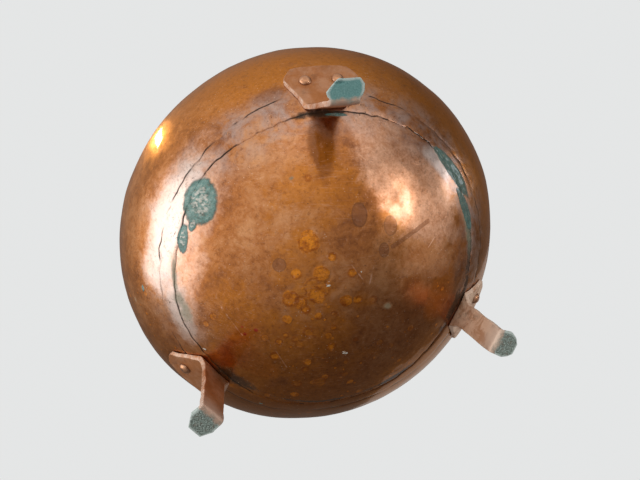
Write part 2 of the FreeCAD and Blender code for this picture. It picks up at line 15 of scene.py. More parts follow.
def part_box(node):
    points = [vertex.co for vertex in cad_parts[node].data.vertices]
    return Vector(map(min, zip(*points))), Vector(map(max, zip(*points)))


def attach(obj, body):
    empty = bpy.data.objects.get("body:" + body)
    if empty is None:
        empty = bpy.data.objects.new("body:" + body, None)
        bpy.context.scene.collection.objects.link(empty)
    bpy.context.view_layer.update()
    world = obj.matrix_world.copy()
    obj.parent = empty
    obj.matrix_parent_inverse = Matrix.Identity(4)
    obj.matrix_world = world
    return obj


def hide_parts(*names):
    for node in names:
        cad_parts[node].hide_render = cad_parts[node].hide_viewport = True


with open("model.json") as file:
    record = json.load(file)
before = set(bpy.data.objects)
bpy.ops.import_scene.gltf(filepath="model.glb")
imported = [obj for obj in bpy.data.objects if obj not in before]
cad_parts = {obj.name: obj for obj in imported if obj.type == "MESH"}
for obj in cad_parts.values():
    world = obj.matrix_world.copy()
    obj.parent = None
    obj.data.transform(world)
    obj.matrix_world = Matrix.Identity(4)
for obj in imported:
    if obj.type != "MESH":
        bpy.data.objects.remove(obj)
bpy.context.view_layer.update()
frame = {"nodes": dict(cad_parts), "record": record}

MM = 0.001


# ---- sizes of the boiler, in millimetres ----

def box_mm(node):
    low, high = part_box(node)
    return np.array(low) / MM, np.array(high) / MM


COPPER = 1.6
BODY_RADIUS = box_mm("belly")[1][0]
EQUATOR = BODY_RADIUS
LOWER_DEPTH = EQUATOR - box_mm("bottom_bowl")[0][2] + COPPER
UPPER_RISE = 118.0
LAP_EDGE = box_mm("belly")[0][2]
LAP_TOP = box_mm("bottom_bowl")[1][2]
BELLY_TOP = box_mm("belly")[1][2]
SHOULDER_EDGE = box_mm("shoulder")[0][2]
OVAL_SHARE = 0.0236
OVAL_AZIMUTH = 46.0
INSET = 0.35


def smooth_step(value, low, high):
    t = np.clip((value - low) / (high - low), 0.0, 1.0)
    return t * t * (3.0 - 2.0 * t)


def oval_scale(azimuth, height):
    """How far the old vessel is out of round; it fades out above the widest circle."""
    fade = smooth_step(height, SHOULDER_EDGE - 3.0, EQUATOR)
    return 1.0 + OVAL_SHARE * fade * np.cos(2.0 * np.radians(azimuth - OVAL_AZIMUTH))


def boiler_grid(angle, azimuth, grow=0.0):
    """Points on the boiler's outline; the angle is 0 at the bottom pole and 90 at the widest circle."""
    rise = np.where(angle <= 90.0, LOWER_DEPTH, UPPER_RISE) + grow
    reach = (BODY_RADIUS + grow) * np.sin(np.radians(angle))
    height = EQUATOR - rise * np.cos(np.radians(angle))
    reach = reach * oval_scale(azimuth, height)
    return np.stack([reach * np.cos(np.radians(azimuth)), reach * np.sin(np.radians(azimuth)), height], -1)


def angle_at(height, grow=0.0):
    """The outline's angle at a height."""
    rise = (LOWER_DEPTH if height <= EQUATOR else UPPER_RISE) + grow
    return math.degrees(math.acos((EQUATOR - height) / rise))


def on_bottom(x, y):
    """The point of the bottom under a place on the plan."""
    reach = math.hypot(x, y)
    height = EQUATOR - LOWER_DEPTH * math.sqrt(max(0.0, 1.0 - (reach / BODY_RADIUS) ** 2))
    return np.array([x, y, height])


# ---- uneven surfaces ----

def ripples(points, wavelength, seed, waves=26):
    """A smooth random field of about unit height, the same on each run."""
    rng = np.random.default_rng(seed)
    directions = rng.normal(size=(waves, 3))
    directions /= np.linalg.norm(directions, axis=1)[:, None]
    turns = directions * (2 * math.pi / (wavelength * rng.uniform(0.7, 1.5, (waves, 1))))
    phases = rng.uniform(0, 2 * math.pi, waves)
    return np.cos(points @ turns.T + phases).sum(-1) / math.sqrt(waves / 2)


def around(azimuth, seed, lowest, highest):
    """A random wavy line round a circle, of about unit height."""
    rng = np.random.default_rng(seed)
    total = np.zeros_like(azimuth)
    for turns in range(lowest, highest):
        height = rng.normal() / turns ** 0.6
        total += height * np.cos(np.radians(azimuth) * turns + rng.uniform(0, 2 * math.pi))
    return total / math.sqrt(sum(0.5 / turns ** 1.2 for turns in range(lowest, highest)))


def planished(points, angles, radius, pitch, seed):
    """The flats that a planishing hammer leaves, in rings: 0 at a flat's rim and -1 in its middle."""
    rng = np.random.default_rng(seed)
    centres = []
    ring_step = pitch / radius
    for ring in np.arange(math.radians(angles[0]), math.radians(angles[1]), ring_step * 0.86):
        count = max(5, int(2 * math.pi * abs(math.sin(ring)) * radius / pitch))
        start = rng.uniform(0, 360)
        for i in range(count):
            lean = math.degrees(ring + rng.normal() * ring_step * 0.12)
            turn = start + 360.0 * (i + rng.normal() * 0.14) / count
            centres.append(boiler_grid(np.array(lean), np.array(turn)))
    tree = KDTree(len(centres))
    for i, centre in enumerate(centres):
        tree.insert(centre, i)
    tree.balance()
    flat = points.reshape(-1, 3)
    gaps = np.array([tree.find(p)[2] for p in flat]).reshape(points.shape[:-1])
    return np.minimum(0.0, (gaps / (pitch * 0.62)) ** 2 - 1.0)


def grid_normals(grid):
    """Unit normals of a grid whose columns go round once."""
    down = np.gradient(grid, axis=0)
    across = np.roll(grid, -1, axis=1) - np.roll(grid, 1, axis=1)
    normals = np.cross(across, down)
    normals /= np.maximum(np.linalg.norm(normals, axis=-1), 1e-9)[..., None]
    return normals


# ---- meshes ----

def add_piece(name, points, faces, body, finish, nodes=(), sharp=None, fields=None):
    """A finished piece: its mesh, its body, the CAD nodes it stands for and its material."""
    mesh = bpy.data.meshes.new(name)
    mesh.from_pydata((np.asarray(points) * MM).tolist(), [], faces)
    mesh.polygons.foreach_set("use_smooth", [True] * len(mesh.polygons))
    if sharp is not None:
        mesh.set_sharp_from_angle(angle=math.radians(sharp))
    for field, values in (fields or {}).items():
        layer = mesh.attributes.new(field, "FLOAT", "POINT")
        layer.data.foreach_set("value", np.asarray(values, np.float32).ravel())
    mesh.validate()
    mesh.update()
    piece = bpy.data.objects.new(name, mesh)
    bpy.context.scene.collection.objects.link(piece)
    piece.data.materials.append(finish)
    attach(piece, body)
    if nodes:
        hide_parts(*nodes)
    return piece


def ring_faces(first, second, count):
    """Quads between two rings of the same number of points."""
    after = [(i + 1) % count for i in range(count)]
    return [(first + i, first + j, second + j, second + i) for i, j in enumerate(after)]


def closed_sheet(outer, inner, poles):
    """Points and faces of a sheet: its outer grid, its inner grid, which runs back, and perhaps poles."""
    rows = list(outer) + list(inner)
    count = outer.shape[1]
    points = np.concatenate(rows)
    faces = []
    for i in range(len(rows) - 1):
        faces += ring_faces(i * count, (i + 1) * count, count)
    if not poles:
        faces += ring_faces((len(rows) - 1) * count, 0, count)
        return points, faces
    tips = np.array([rows[0].mean(0), rows[-1].mean(0)])
    points = np.concatenate([points, tips])
    outer_tip, inner_tip, last = len(points) - 2, len(points) - 1, (len(rows) - 1) * count
    faces += [(outer_tip, (i + 1) % count, i) for i in range(count)]
    faces += [(inner_tip, last + i, last + (i + 1) % count) for i in range(count)]
    return points, faces


# ---- the lap between bottom and belly ----

def lap_height(azimuth):
    """The height of the belly's uneven lower edge."""
    return LAP_EDGE + 0.9 * around(azimuth, 11, 2, 9) + 0.22 * around(azimuth, 12, 30, 90)


def crimp_height(azimuth):
    """The height at which the bottom's upper edge shows through the belly."""
    return LAP_TOP + 0.6 + 0.6 * around(azimuth, 21, 2, 8) + 0.2 * around(azimuth, 22, 30, 90)


# Marks on the bottom: plan x and y, half length, half width, and the turn from the line round the axis.
VERDIGRIS = {
    "ring": (-47, 82, 16, 13.5, 20),
    "ring_tail": (-24, 94, 10, 4.6, 10),
    "ring_neck": (-34, 87, 6, 3.4, 0),
    "right_streak": (-59, -86, 23, 6.0, 3),
    "right_streak_low": (-33, -95, 18, 4.4, 2),
    "chip": (99, 50, 3.2, 1.8, 10),
    "under_rear_foot": (-98, -6, 8, 1.4, 0),
    "rim_fleck": (14, 124, 3.0, 2.0, 0),
}
TARNISH = {
    "left_spot": (25, 95, 11, 7.0, -10),
    "left_spot_top": (16, 99, 7, 6, 0),
    "left_limb": (26, 132, 4, 3, 0),
    "left_seam": (0, 101, 20, 2.6, 0),
    "right_seam": (-20, -97, 24, 5, 0),
    "flake": (-61, 26, 2.4, 1.4, 0),
    "oval_stain": (22, -32, 3.6, 4.6, 30),
}
# Dark soil along the seams, and painted shade: the *_foot_shade marks darken the copper beside and under the
# three feet.
GRIME_AND_SHADE = {
    "right_seam": (-8, -99, 34, 3.6, 0),
    "right_seam_low": (25, -98, 22, 3.2, 0),
    "left_foot_shade": (74, 66, 21, 7.5, 4),
    "right_foot_shade": (36, -89, 24, 5.5, 0),
    "front_seam": (98, 12, 44, 1.7, 0),
    "front_seam_right": (88, -44, 26, 3.0, 0),
    "rear_foot_shade": (-99, 4, 20, 3.6, 0),
}
BARE = {
    "left": (-38, 98, 70, 34, 0),
    "left_low": (20, 98, 34, 16, 0),
    "right": (-50, -56, 48, 34, 0),
    "rear_right": (-90, -32, 22, 17, 0),
}
# Painted highlight, partly a pale bloom on the copper: whitish patches laid where the left and right lights
# are mirrored.
HIGHLIGHT_HAZE = {
    "left": (-34, 104, 66, 22, 0),
    "left_low": (22, 100, 30, 12, 0),
    "right": (-66, -72, 20, 9, 0),
}
# Painted shade: dark brown where the rear foot's shadow and reflection fall, and where the bowl would mirror
# the feet's lit legs.
PAINTED_SHADE = {
    "behind_rear_foot": (-78, 6, 9, 24, 0),
    "rear_foot_side": (-112, 34, 14, 8, 0),
    "right_foot_mirror": (22, -74, 24, 15, 0),
    "left_foot_mirror": (58, 54, 22, 12, 0),
}
AMBER = {
    "middle": (2, 18, 30, 22, 0),
    "front": (56, 18, 36, 44, 0),
    "front_left": (28, 58, 30, 26, 0),
    "rear": (-52, 14, 30, 24, 0),
    "far_front": (88, 36, 60, 22, 0),
}


def along_and_across(points, x, y):
    """Distances from a place on the bottom: along the line round the axis and across it, on the surface."""
    centre = on_bottom(x, y)
    reach = math.hypot(x, y)
    if reach < 60.0:
        heading = math.atan2(y, x) + math.pi / 2
        gap = points - centre
        along = gap[..., 0] * math.cos(heading) + gap[..., 1] * math.sin(heading)
        rest = gap[..., 0] * math.sin(heading) - gap[..., 1] * math.cos(heading)
        return along, np.hypot(rest, gap[..., 2]) * np.sign(rest)
    turned = np.arctan2(points[..., 1], points[..., 0]) - math.atan2(y, x)
    turned = (turned + math.pi) % (2 * math.pi) - math.pi
    out = np.hypot(points[..., 0], points[..., 1]) - reach
    rise = points[..., 2] - centre[2]
    return turned * reach, np.hypot(out, rise) * np.sign(rise)


def patch_field(points, marks):
    """How deep each point is in the nearest oval mark: 1 in the middle, 0 on the edge, less outside."""
    deepest = np.full(points.shape[:-1], -1.0)
    for x, y, half_length, half_width, turn in marks.values():
        along, across = along_and_across(points, x, y)
        c, s = math.cos(math.radians(turn)), math.sin(math.radians(turn))
        share = np.hypot((along * c + across * s) / half_length, (across * c - along * s) / half_width)
        deepest = np.maximum(deepest, 1.0 - share)
    return deepest


DENTS = (
    (-52, -34, 20, 0.55),
    (-36, -62, 15, 0.35),
    (-70, 30, 24, 0.35),
    (10, 70, 26, 0.4),
    (40, -40, 30, 0.4),
    (62, 34, 24, 0.45),
    (-12, -82, 14, 0.4),
    (-84, -18, 16, 0.35),
)
# Creases: the plan x and y of both ends, the width and the depth.
CREASES = (
    (-80, -14, -58, -26, 5.0, 0.22),
    (-60, -25, -36, -42, 6.0, 0.20),
    (-48, 62, -20, 70, 7.0, 0.14),
    (60, 66, 84, 44, 6.0, 0.25),
)
RAISING_MARK = (-3.5, 11.0)
RAISING_MARK_RADIUS = 6.2


def crease_relief(points):
    """Shallow valleys along straight lines."""
    relief = np.zeros(points.shape[:-1])
    for x0, y0, x1, y1, width, depth in CREASES:
        start, end = on_bottom(x0, y0), on_bottom(x1, y1)
        along = (end - start) / np.linalg.norm(end - start)
        run = np.clip((points - start) @ along, 0.0, np.linalg.norm(end - start))
        gap = np.linalg.norm(points - start - run[..., None] * along, axis=-1) / width
        relief -= depth * np.exp(-gap ** 2)
    return relief


def bottom_relief(points):
    """What years of use left on the sheet, in millimetres along its normal; always inwards."""
    relief = 0.16 * ripples(points, 60.0, 1) + 0.05 * ripples(points, 24.0, 2)
    relief += 0.014 * ripples(points, 7.0, 3)
    for x, y, radius, depth in DENTS:
        gap = np.linalg.norm(points - on_bottom(x, y), axis=-1) / radius
        relief -= depth * np.exp(-2.5 * gap ** 2)
    relief += crease_relief(points)
    relief += 0.045 * planished(points, (8.0, 88.0), BODY_RADIUS, 13.0, 5)
    ring = np.abs(np.linalg.norm(points - on_bottom(*RAISING_MARK), axis=-1) - RAISING_MARK_RADIUS)
    relief -= 0.10 * np.exp(-(ring / 1.1) ** 2)
    crust = np.clip(patch_field(points, VERDIGRIS), 0.0, 0.5)
    relief += crust * 0.3 * (1.0 + 0.7 * ripples(points, 3.5, 4))
    return np.clip(relief, -2.0, INSET) - INSET


def fields_of(points, azimuth):
    """The values that the boiler's finish reads at each point."""
    height = points[..., 2]
    return {
        "lap_gap": height - lap_height(azimuth),
        "crimp_gap": height - crimp_height(azimuth),
        "verdigris": patch_field(points, VERDIGRIS),
        "tarnish": patch_field(points, TARNISH),
        "grime_and_shade": patch_field(points, GRIME_AND_SHADE),
        "bare": patch_field(points, BARE),
        "amber": patch_field(points, AMBER),
        "shade": patch_field(points, PAINTED_SHADE),
        "haze": patch_field(points, HIGHLIGHT_HAZE),
    }


def with_inner(fields, outer_count, total):
    """Pads each field with plain values for the sheet's unseen inner side."""
    padded = {}
    for name, values in fields.items():
        flat = np.full(total, 40.0 if name.endswith("gap") else -1.0)
        flat[:outer_count] = values.ravel()
        padded[name] = flat
    return padded


def bottom_bowl(finish):
    """The raised bottom, which runs up inside the belly's lap."""
    columns, rows = 400, 215
    azimuth = np.arange(columns) * 360.0 / columns
    angle = np.linspace(0.25, angle_at(LAP_TOP), rows)
    azimuths, angles = np.meshgrid(azimuth, angle)
    outer = boiler_grid(angles, azimuths)
    fields = fields_of(outer, azimuths)
    tuck = smooth_step(fields["lap_gap"], -0.4, 1.0)
    relief = bottom_relief(outer) - 0.3 - tuck * (COPPER - 0.5)
    outer = outer + grid_normals(outer) * relief[..., None]
    inner_angle = np.linspace(angle_at(LAP_TOP), 0.5, 20)
    inner = boiler_grid(*np.meshgrid(inner_angle, azimuth, indexing="ij"), grow=-2 * COPPER)
    points, faces = closed_sheet(outer, inner, poles=True)
    padded = with_inner(fields, outer.shape[0] * columns, len(points))
    covers = ["bottom_bowl"]
    return add_piece("bowl_sheet", points, faces, "boiler", finish, covers, 40, padded)


def belly(finish):
    """The belly sheet, with its uneven lapped edge and the crimp above it."""
    columns = 440
    azimuth = np.arange(columns) * 360.0 / columns
    near_edge = np.concatenate([np.linspace(0.0, 0.9, 5), np.linspace(1.2, 14.0, 38)])
    edge_angle = np.degrees(np.arccos((EQUATOR - lap_height(azimuth)) / LOWER_DEPTH))
    top_angle = angle_at(BELLY_TOP)
    step_angle = np.degrees(near_edge / BODY_RADIUS)
    share = np.linspace(0.0, 1.0, 64)[1:]
    last = step_angle[-1]
    low = edge_angle[None, :] + step_angle[:, None]
    high = edge_angle[None, :] + last + (top_angle - edge_angle[None, :] - last) * share[:, None] ** 1.1
    angles = np.concatenate([low, high])
    azimuths = np.broadcast_to(azimuth, angles.shape)
    outer = boiler_grid(angles, azimuths)
    fields = fields_of(outer, azimuths)
    worn = 0.5 + 0.5 * around(azimuths, 31, 3, 14)
    relief = bottom_relief(outer)
    relief -= 0.42 * np.exp(-np.clip(fields["lap_gap"], 0, None) / 0.5)
    relief -= 0.38 * np.exp(-(fields["crimp_gap"] / 0.7) ** 2) * smooth_step(worn, 0.0, 0.8)
    relief += 0.12 * smooth_step(fields["lap_gap"], 0.0, 3.0) * smooth_step(-fields["crimp_gap"], 0.0, 3.0)
    relief = np.minimum(relief, -0.02)
    outer = outer + grid_normals(outer) * relief[..., None]
    inner_share = np.linspace(1.0, 0.0, 16)
    inner_angles = edge_angle[None, :] + (top_angle - edge_angle[None, :]) * inner_share[:, None]
    inner = boiler_grid(inner_angles, np.broadcast_to(azimuth, inner_angles.shape), grow=-COPPER)
    points, faces = closed_sheet(outer, inner, poles=False)
    padded = with_inner(fields, outer.shape[0] * columns, len(points))
    return add_piece("belly_sheet", points, faces, "boiler", finish, ["belly"], 40, padded)


# ---- strap feet ----

STRAP = 3.2
PLATE_THICK = 2.2
STRAP_INNER = 101.6
HEEL_ROUND = 2.6
TOE_FILLET = 1.0
TOE_END = 117.0
LEG_HALF = 8.1
LEG_TOP = 49.0
WING_HALF = 25.3
WING_HEIGHT = 75.0
PLATE_HALF = 19.0
PLATE_TOP = 83.0
EDGE_ROUND = 0.5
RIVET_HEIGHT = 72.0
RIVET_SPREAD = 5.1


def azimuth_of(node):
    """The direction in which a CAD node lies from the axis."""
    mesh = frame["nodes"][node].data
    low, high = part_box(node)
    middle = sum((v.co for v in mesh.vertices), Vector()) / len(mesh.vertices)
    middle = (middle + (low + high) / 2) / 2
    return math.degrees(math.atan2(middle.y, middle.x)) % 360.0


def soft_max(a, b, width):
    """The larger of two values, with a rounded changeover."""
    return 0.5 * (a + b + np.sqrt((a - b) ** 2 + width ** 2))


def strap_half_width(height):
    """Half the strap's width at a height, with the flare's rounded start."""
    flare = LEG_HALF + (WING_HALF - LEG_HALF) * (height - LEG_TOP) / (WING_HEIGHT - LEG_TOP)
    widened = soft_max(flare, LEG_HALF, 3.4)
    top = PLATE_HALF + (WING_HALF - PLATE_HALF) * (PLATE_TOP - height) / (PLATE_TOP - WING_HEIGHT)
    return float(-soft_max(-widened, -top, 1.6))


def skin_reach(height, across, grow):
    """How far out the boiler's side is at a height and a distance from the foot's middle line."""
    radius, depth = BODY_RADIUS + grow, LOWER_DEPTH + grow
    reach = radius ** 2 * (1.0 - ((EQUATOR - height) / depth) ** 2) - across ** 2
    return math.sqrt(reach) if reach > 0 else 0.0


def strap_loop(half, inset):
    """Points round the strap's section: (across, depth from the back), with worn corners."""
    corner = EDGE_ROUND
    steps = [math.radians(lean) for lean in (0.0, 22.5, 45.0, 67.5, 90.0)]
    span = max(half - inset - corner, 0.2)
    low, high = inset, STRAP - inset
    flats = [span * share for share in np.linspace(-1.0, 1.0, 27)[1:-1]]
    loop = [(across, low) for across in flats]
    loop += [(span + corner * math.sin(a), low + corner * (1 - math.cos(a))) for a in steps]
    loop += [(span + corner * math.cos(a), high - corner * (1 - math.sin(a))) for a in steps]
    loop += [(across, high) for across in reversed(flats)]
    loop += [(-span - corner * math.sin(a), high - corner * (1 - math.cos(a))) for a in steps]
    loop += [(-span - corner * math.cos(a), low + corner * (1 - math.sin(a))) for a in steps]
    return loop


def strap_rows(toe_end):
    """The strap's rows from the plate's top to the toe's end: (kind, place, inset)."""
    rows = []
    for lean in (80.0, 50.0, 25.0):
        rise = EDGE_ROUND * (1 - math.cos(math.radians(lean)))
        rows.append(("side", PLATE_TOP - EDGE_ROUND + rise, EDGE_ROUND * math.sin(math.radians(lean)) * 0.8))
    rows += [("side", height, 0.0) for height in np.linspace(PLATE_TOP - EDGE_ROUND, 46.0, 48)]
    rows += [("side", height, 0.0) for height in np.linspace(44.5, STRAP + TOE_FILLET, 26)]
    rows += [("bend", turn, 0.0) for turn in np.linspace(12.0, 90.0, 8)]
    start = STRAP_INNER + STRAP + TOE_FILLET
    rows += [("toe", reach, 0.0) for reach in np.linspace(start + 0.5, toe_end - EDGE_ROUND, 22)]
    for lean in (25.0, 50.0, 80.0):
        reach = toe_end - EDGE_ROUND * (1 - math.sin(math.radians(lean)))
        rows.append(("toe", reach, EDGE_ROUND * (1 - math.cos(math.radians(lean))) * 0.8))
    return rows


def strap_point(kind, place, across, depth):
    """A point of the strap in the foot's own plane: x outwards, y across, z up."""
    share = depth / STRAP
    if kind == "side":
        back = soft_max(STRAP_INNER, skin_reach(place, across, 0.0), 1.0)
        thick = STRAP - (STRAP - PLATE_THICK) * float(smooth_step(place, LEG_TOP, LEG_TOP + 14.0))
        front = soft_max(STRAP_INNER + thick, skin_reach(place, across, thick), 1.6)
        return back + (front - back) * share, across, place
    if kind == "bend":
        lean = math.radians(180.0 + place)
        back_x = STRAP_INNER + HEEL_ROUND * (1 + math.cos(lean))
        back_z = HEEL_ROUND * (1 + math.sin(lean))
        front_x = STRAP_INNER + STRAP + TOE_FILLET * (1 + math.cos(lean))
        front_z = STRAP + TOE_FILLET * (1 + math.sin(lean))
        return back_x + (front_x - back_x) * share, across, back_z + (front_z - back_z) * share
    return place, across, depth


# Half widths of each toe along its length: share, one side, other side.
REAR_TOE = ((0.0, 8.5, 8.5), (0.4, 9.8, 10.8), (0.7, 6.8, 10.8), (1.0, 3.4, 8.2))
LEFT_TOE = ((0.0, 8.1, 8.1), (0.5, 8.2, 8.4), (1.0, 4.6, 4.2))
RIGHT_TOE = ((0.0, 8.1, 8.1), (0.5, 8.6, 8.4), (0.8, 6.4, 6.6), (1.0, 2.6, 4.4))
# Each foot: its noise seed, its toe's end, its toe's half widths and the pit in its sole (share, across, half
# length, half width).
FEET = {
    "rear_foot": (101, 115.4, REAR_TOE, (0.80, -3.0, 2.6, 0.9)),
    "left_foot": (201, 117.0, LEFT_TOE, (0.74, 5.0, 1.1, 1.2)),
    "right_foot": (301, 117.0, RIGHT_TOE, (0.3, 2.0, 0.6, 0.6)),
}


def toe_room(outline, share, side):
    """The toe's half width at a share of its length, on one side."""
    shares = [row[0] for row in outline]
    return float(np.interp(share, shares, [row[2 if side > 0 else 1] for row in outline]))


def strap_shape(toe_end, outline, pit):
    """The foot's points in its own plane, with their edge and tip values, and the points in a row."""
    rows = strap_rows(toe_end)
    start = STRAP_INNER + HEEL_ROUND
    points, edge, tip = [], [], []
    for kind, place, inset in rows:
        half = strap_half_width(place) if kind == "side" else LEG_HALF
        loop = strap_loop(half, inset)
        for across, depth in loop:
            x, y, z = strap_point(kind, place, across, depth)
            if kind == "toe":
                share = (x - start) / (toe_end - start)
                y *= toe_room(outline, share, y) / LEG_HALF
                hollow = ((share - pit[0]) * (toe_end - start) / pit[3]) ** 2 + ((y - pit[1]) / pit[2]) ** 2
                if depth < STRAP / 2 and hollow < 2.0:
                    z += 1.3 * math.exp(-2.0 * hollow ** 2)
            points.append((x, y, z))
            inward = abs(abs(across) - (half - inset))
            if kind == "toe":
                inward = min(inward, toe_end - x)
            edge.append(1.0 - min(inward, 3.0) / 3.0)
            tip.append(x - start if kind == "toe" else -z)
    return np.array(points), edge, tip, len(loop)


def strap_foot(node, finish):
    """One forged foot, wobbled by hand work and set against the slightly oval boiler."""
    seed, toe_end, outline, pit = FEET[node]
    points, edge, tip, count = strap_shape(toe_end, outline, pit)
    wobble = np.stack([ripples(points, 16.0, seed + k) for k in range(3)], -1) * 0.13
    fine = ripples(points, 4.0, seed + 5)[:, None] * 0.04
    grounded = np.clip(points[:, 2:3] / 4.0, 0.0, 1.0)
    points = points + (wobble + fine) * np.concatenate([np.ones((len(points), 2)), grounded], axis=1)
    points[:, 2] = np.maximum(points[:, 2], 0.02)
    low = points[:, 2] < 8.0
    points[low, 0] = np.minimum(points[low, 0], TOE_END - 0.05)
    turn = math.radians(azimuth_of(node))
    c, s = math.cos(turn), math.sin(turn)
    points = points @ np.array([[c, s, 0], [-s, c, 0], [0, 0, 1]])
    scale = oval_scale(np.degrees(np.arctan2(points[:, 1], points[:, 0])), points[:, 2])
    points[:, :2] *= scale[:, None]
    faces = []
    for i in range(len(points) // count - 1):
        faces += [(a, d, c, b) for a, b, c, d in ring_faces(i * count, (i + 1) * count, count)]
    faces.append(tuple(range(count)))
    faces.append(tuple(range(len(points) - 1, len(points) - 1 - count, -1)))
    fields = {"edge": edge, "tip": tip}
    return add_piece(node + "_strap", points, faces, "boiler", finish, [node], 55, fields)


# ---- rivets ----

RIVET_HEAD = 4.2
RIVET_CROWN = 2.9
RIVET_SHANK = 2.0
RIVET_TAIL = 2.9


def rivet_outline():
    """Half the section of a foot rivet: (radius, height above the strap's face)."""
    leans = [math.radians(lean) for lean in range(0, 91, 10)]
    crown = [(RIVET_HEAD * math.sin(lean), RIVET_CROWN * math.cos(lean)) for lean in leans]
    stack = PLATE_THICK + COPPER + 1.15
    shank = [(RIVET_HEAD * 0.97, -0.15), (RIVET_SHANK, -0.2), (RIVET_SHANK, -stack)]
    return crown + shank + [(RIVET_TAIL, -stack), (RIVET_TAIL, -stack - 0.8), (0.0, -stack - 0.9)]


def foot_rivets(finish):
    """Six hand-headed rivets, two through each foot's plate."""
    outline = rivet_outline()
    columns = 40
    points, faces, dome = [], [], []
    rng = np.random.default_rng(71)
    for node in ("rear_foot", "left_foot", "right_foot"):
        for side in (-1, 1):
            azimuth = azimuth_of(node) + side * RIVET_SPREAD
            reach = skin_reach(RIVET_HEIGHT, 0.0, 0.0)
            fall = (RIVET_HEIGHT - EQUATOR) / LOWER_DEPTH ** 2
            outward = Vector((reach / BODY_RADIUS ** 2, 0, fall)).normalized()
            place = Vector((reach, 0, RIVET_HEIGHT)) + outward * PLATE_THICK
            spin = Matrix.Rotation(math.radians(azimuth), 3, "Z")
            place, outward = spin @ place, spin @ outward
            scale = float(oval_scale(azimuth, RIVET_HEIGHT))
            place.x, place.y = place.x * scale, place.y * scale
            aim = outward.to_track_quat("Z", "Y")
            base = len(points)
            uneven = rng.uniform(0, 2 * math.pi, 3)
            for radius, height in outline:
                for i in range(columns):
                    turn = 2 * math.pi * i / columns
                    swell = 1 + 0.035 * math.cos(2 * turn + uneven[0]) + 0.02 * math.cos(5 * turn + uneven[1])
                    flat = min(height, RIVET_CROWN * 0.9 + 0.12 * radius * math.cos(turn + uneven[2]))
                    local = Vector((radius * swell * math.cos(turn), radius * swell * math.sin(turn), flat))
                    points.append(place + aim @ local)
                    dome.append(height / RIVET_CROWN)
            for row in range(len(outline) - 1):
                faces += ring_faces(base + row * columns, base + (row + 1) * columns, columns)
    points = np.array([tuple(p) for p in points])
    fields = {"edge": np.clip(dome, 0.0, 1.0), "tip": np.full(len(points), -50.0)}
    covers = ["foot_rivets"]
    piece = add_piece("foot_rivet_heads", points, faces, "boiler", finish, covers, 50, fields)
    weld = piece.modifiers.new("weld", "WELD")
    weld.merge_threshold = 0.00002
    return piece


# ---- materials ----

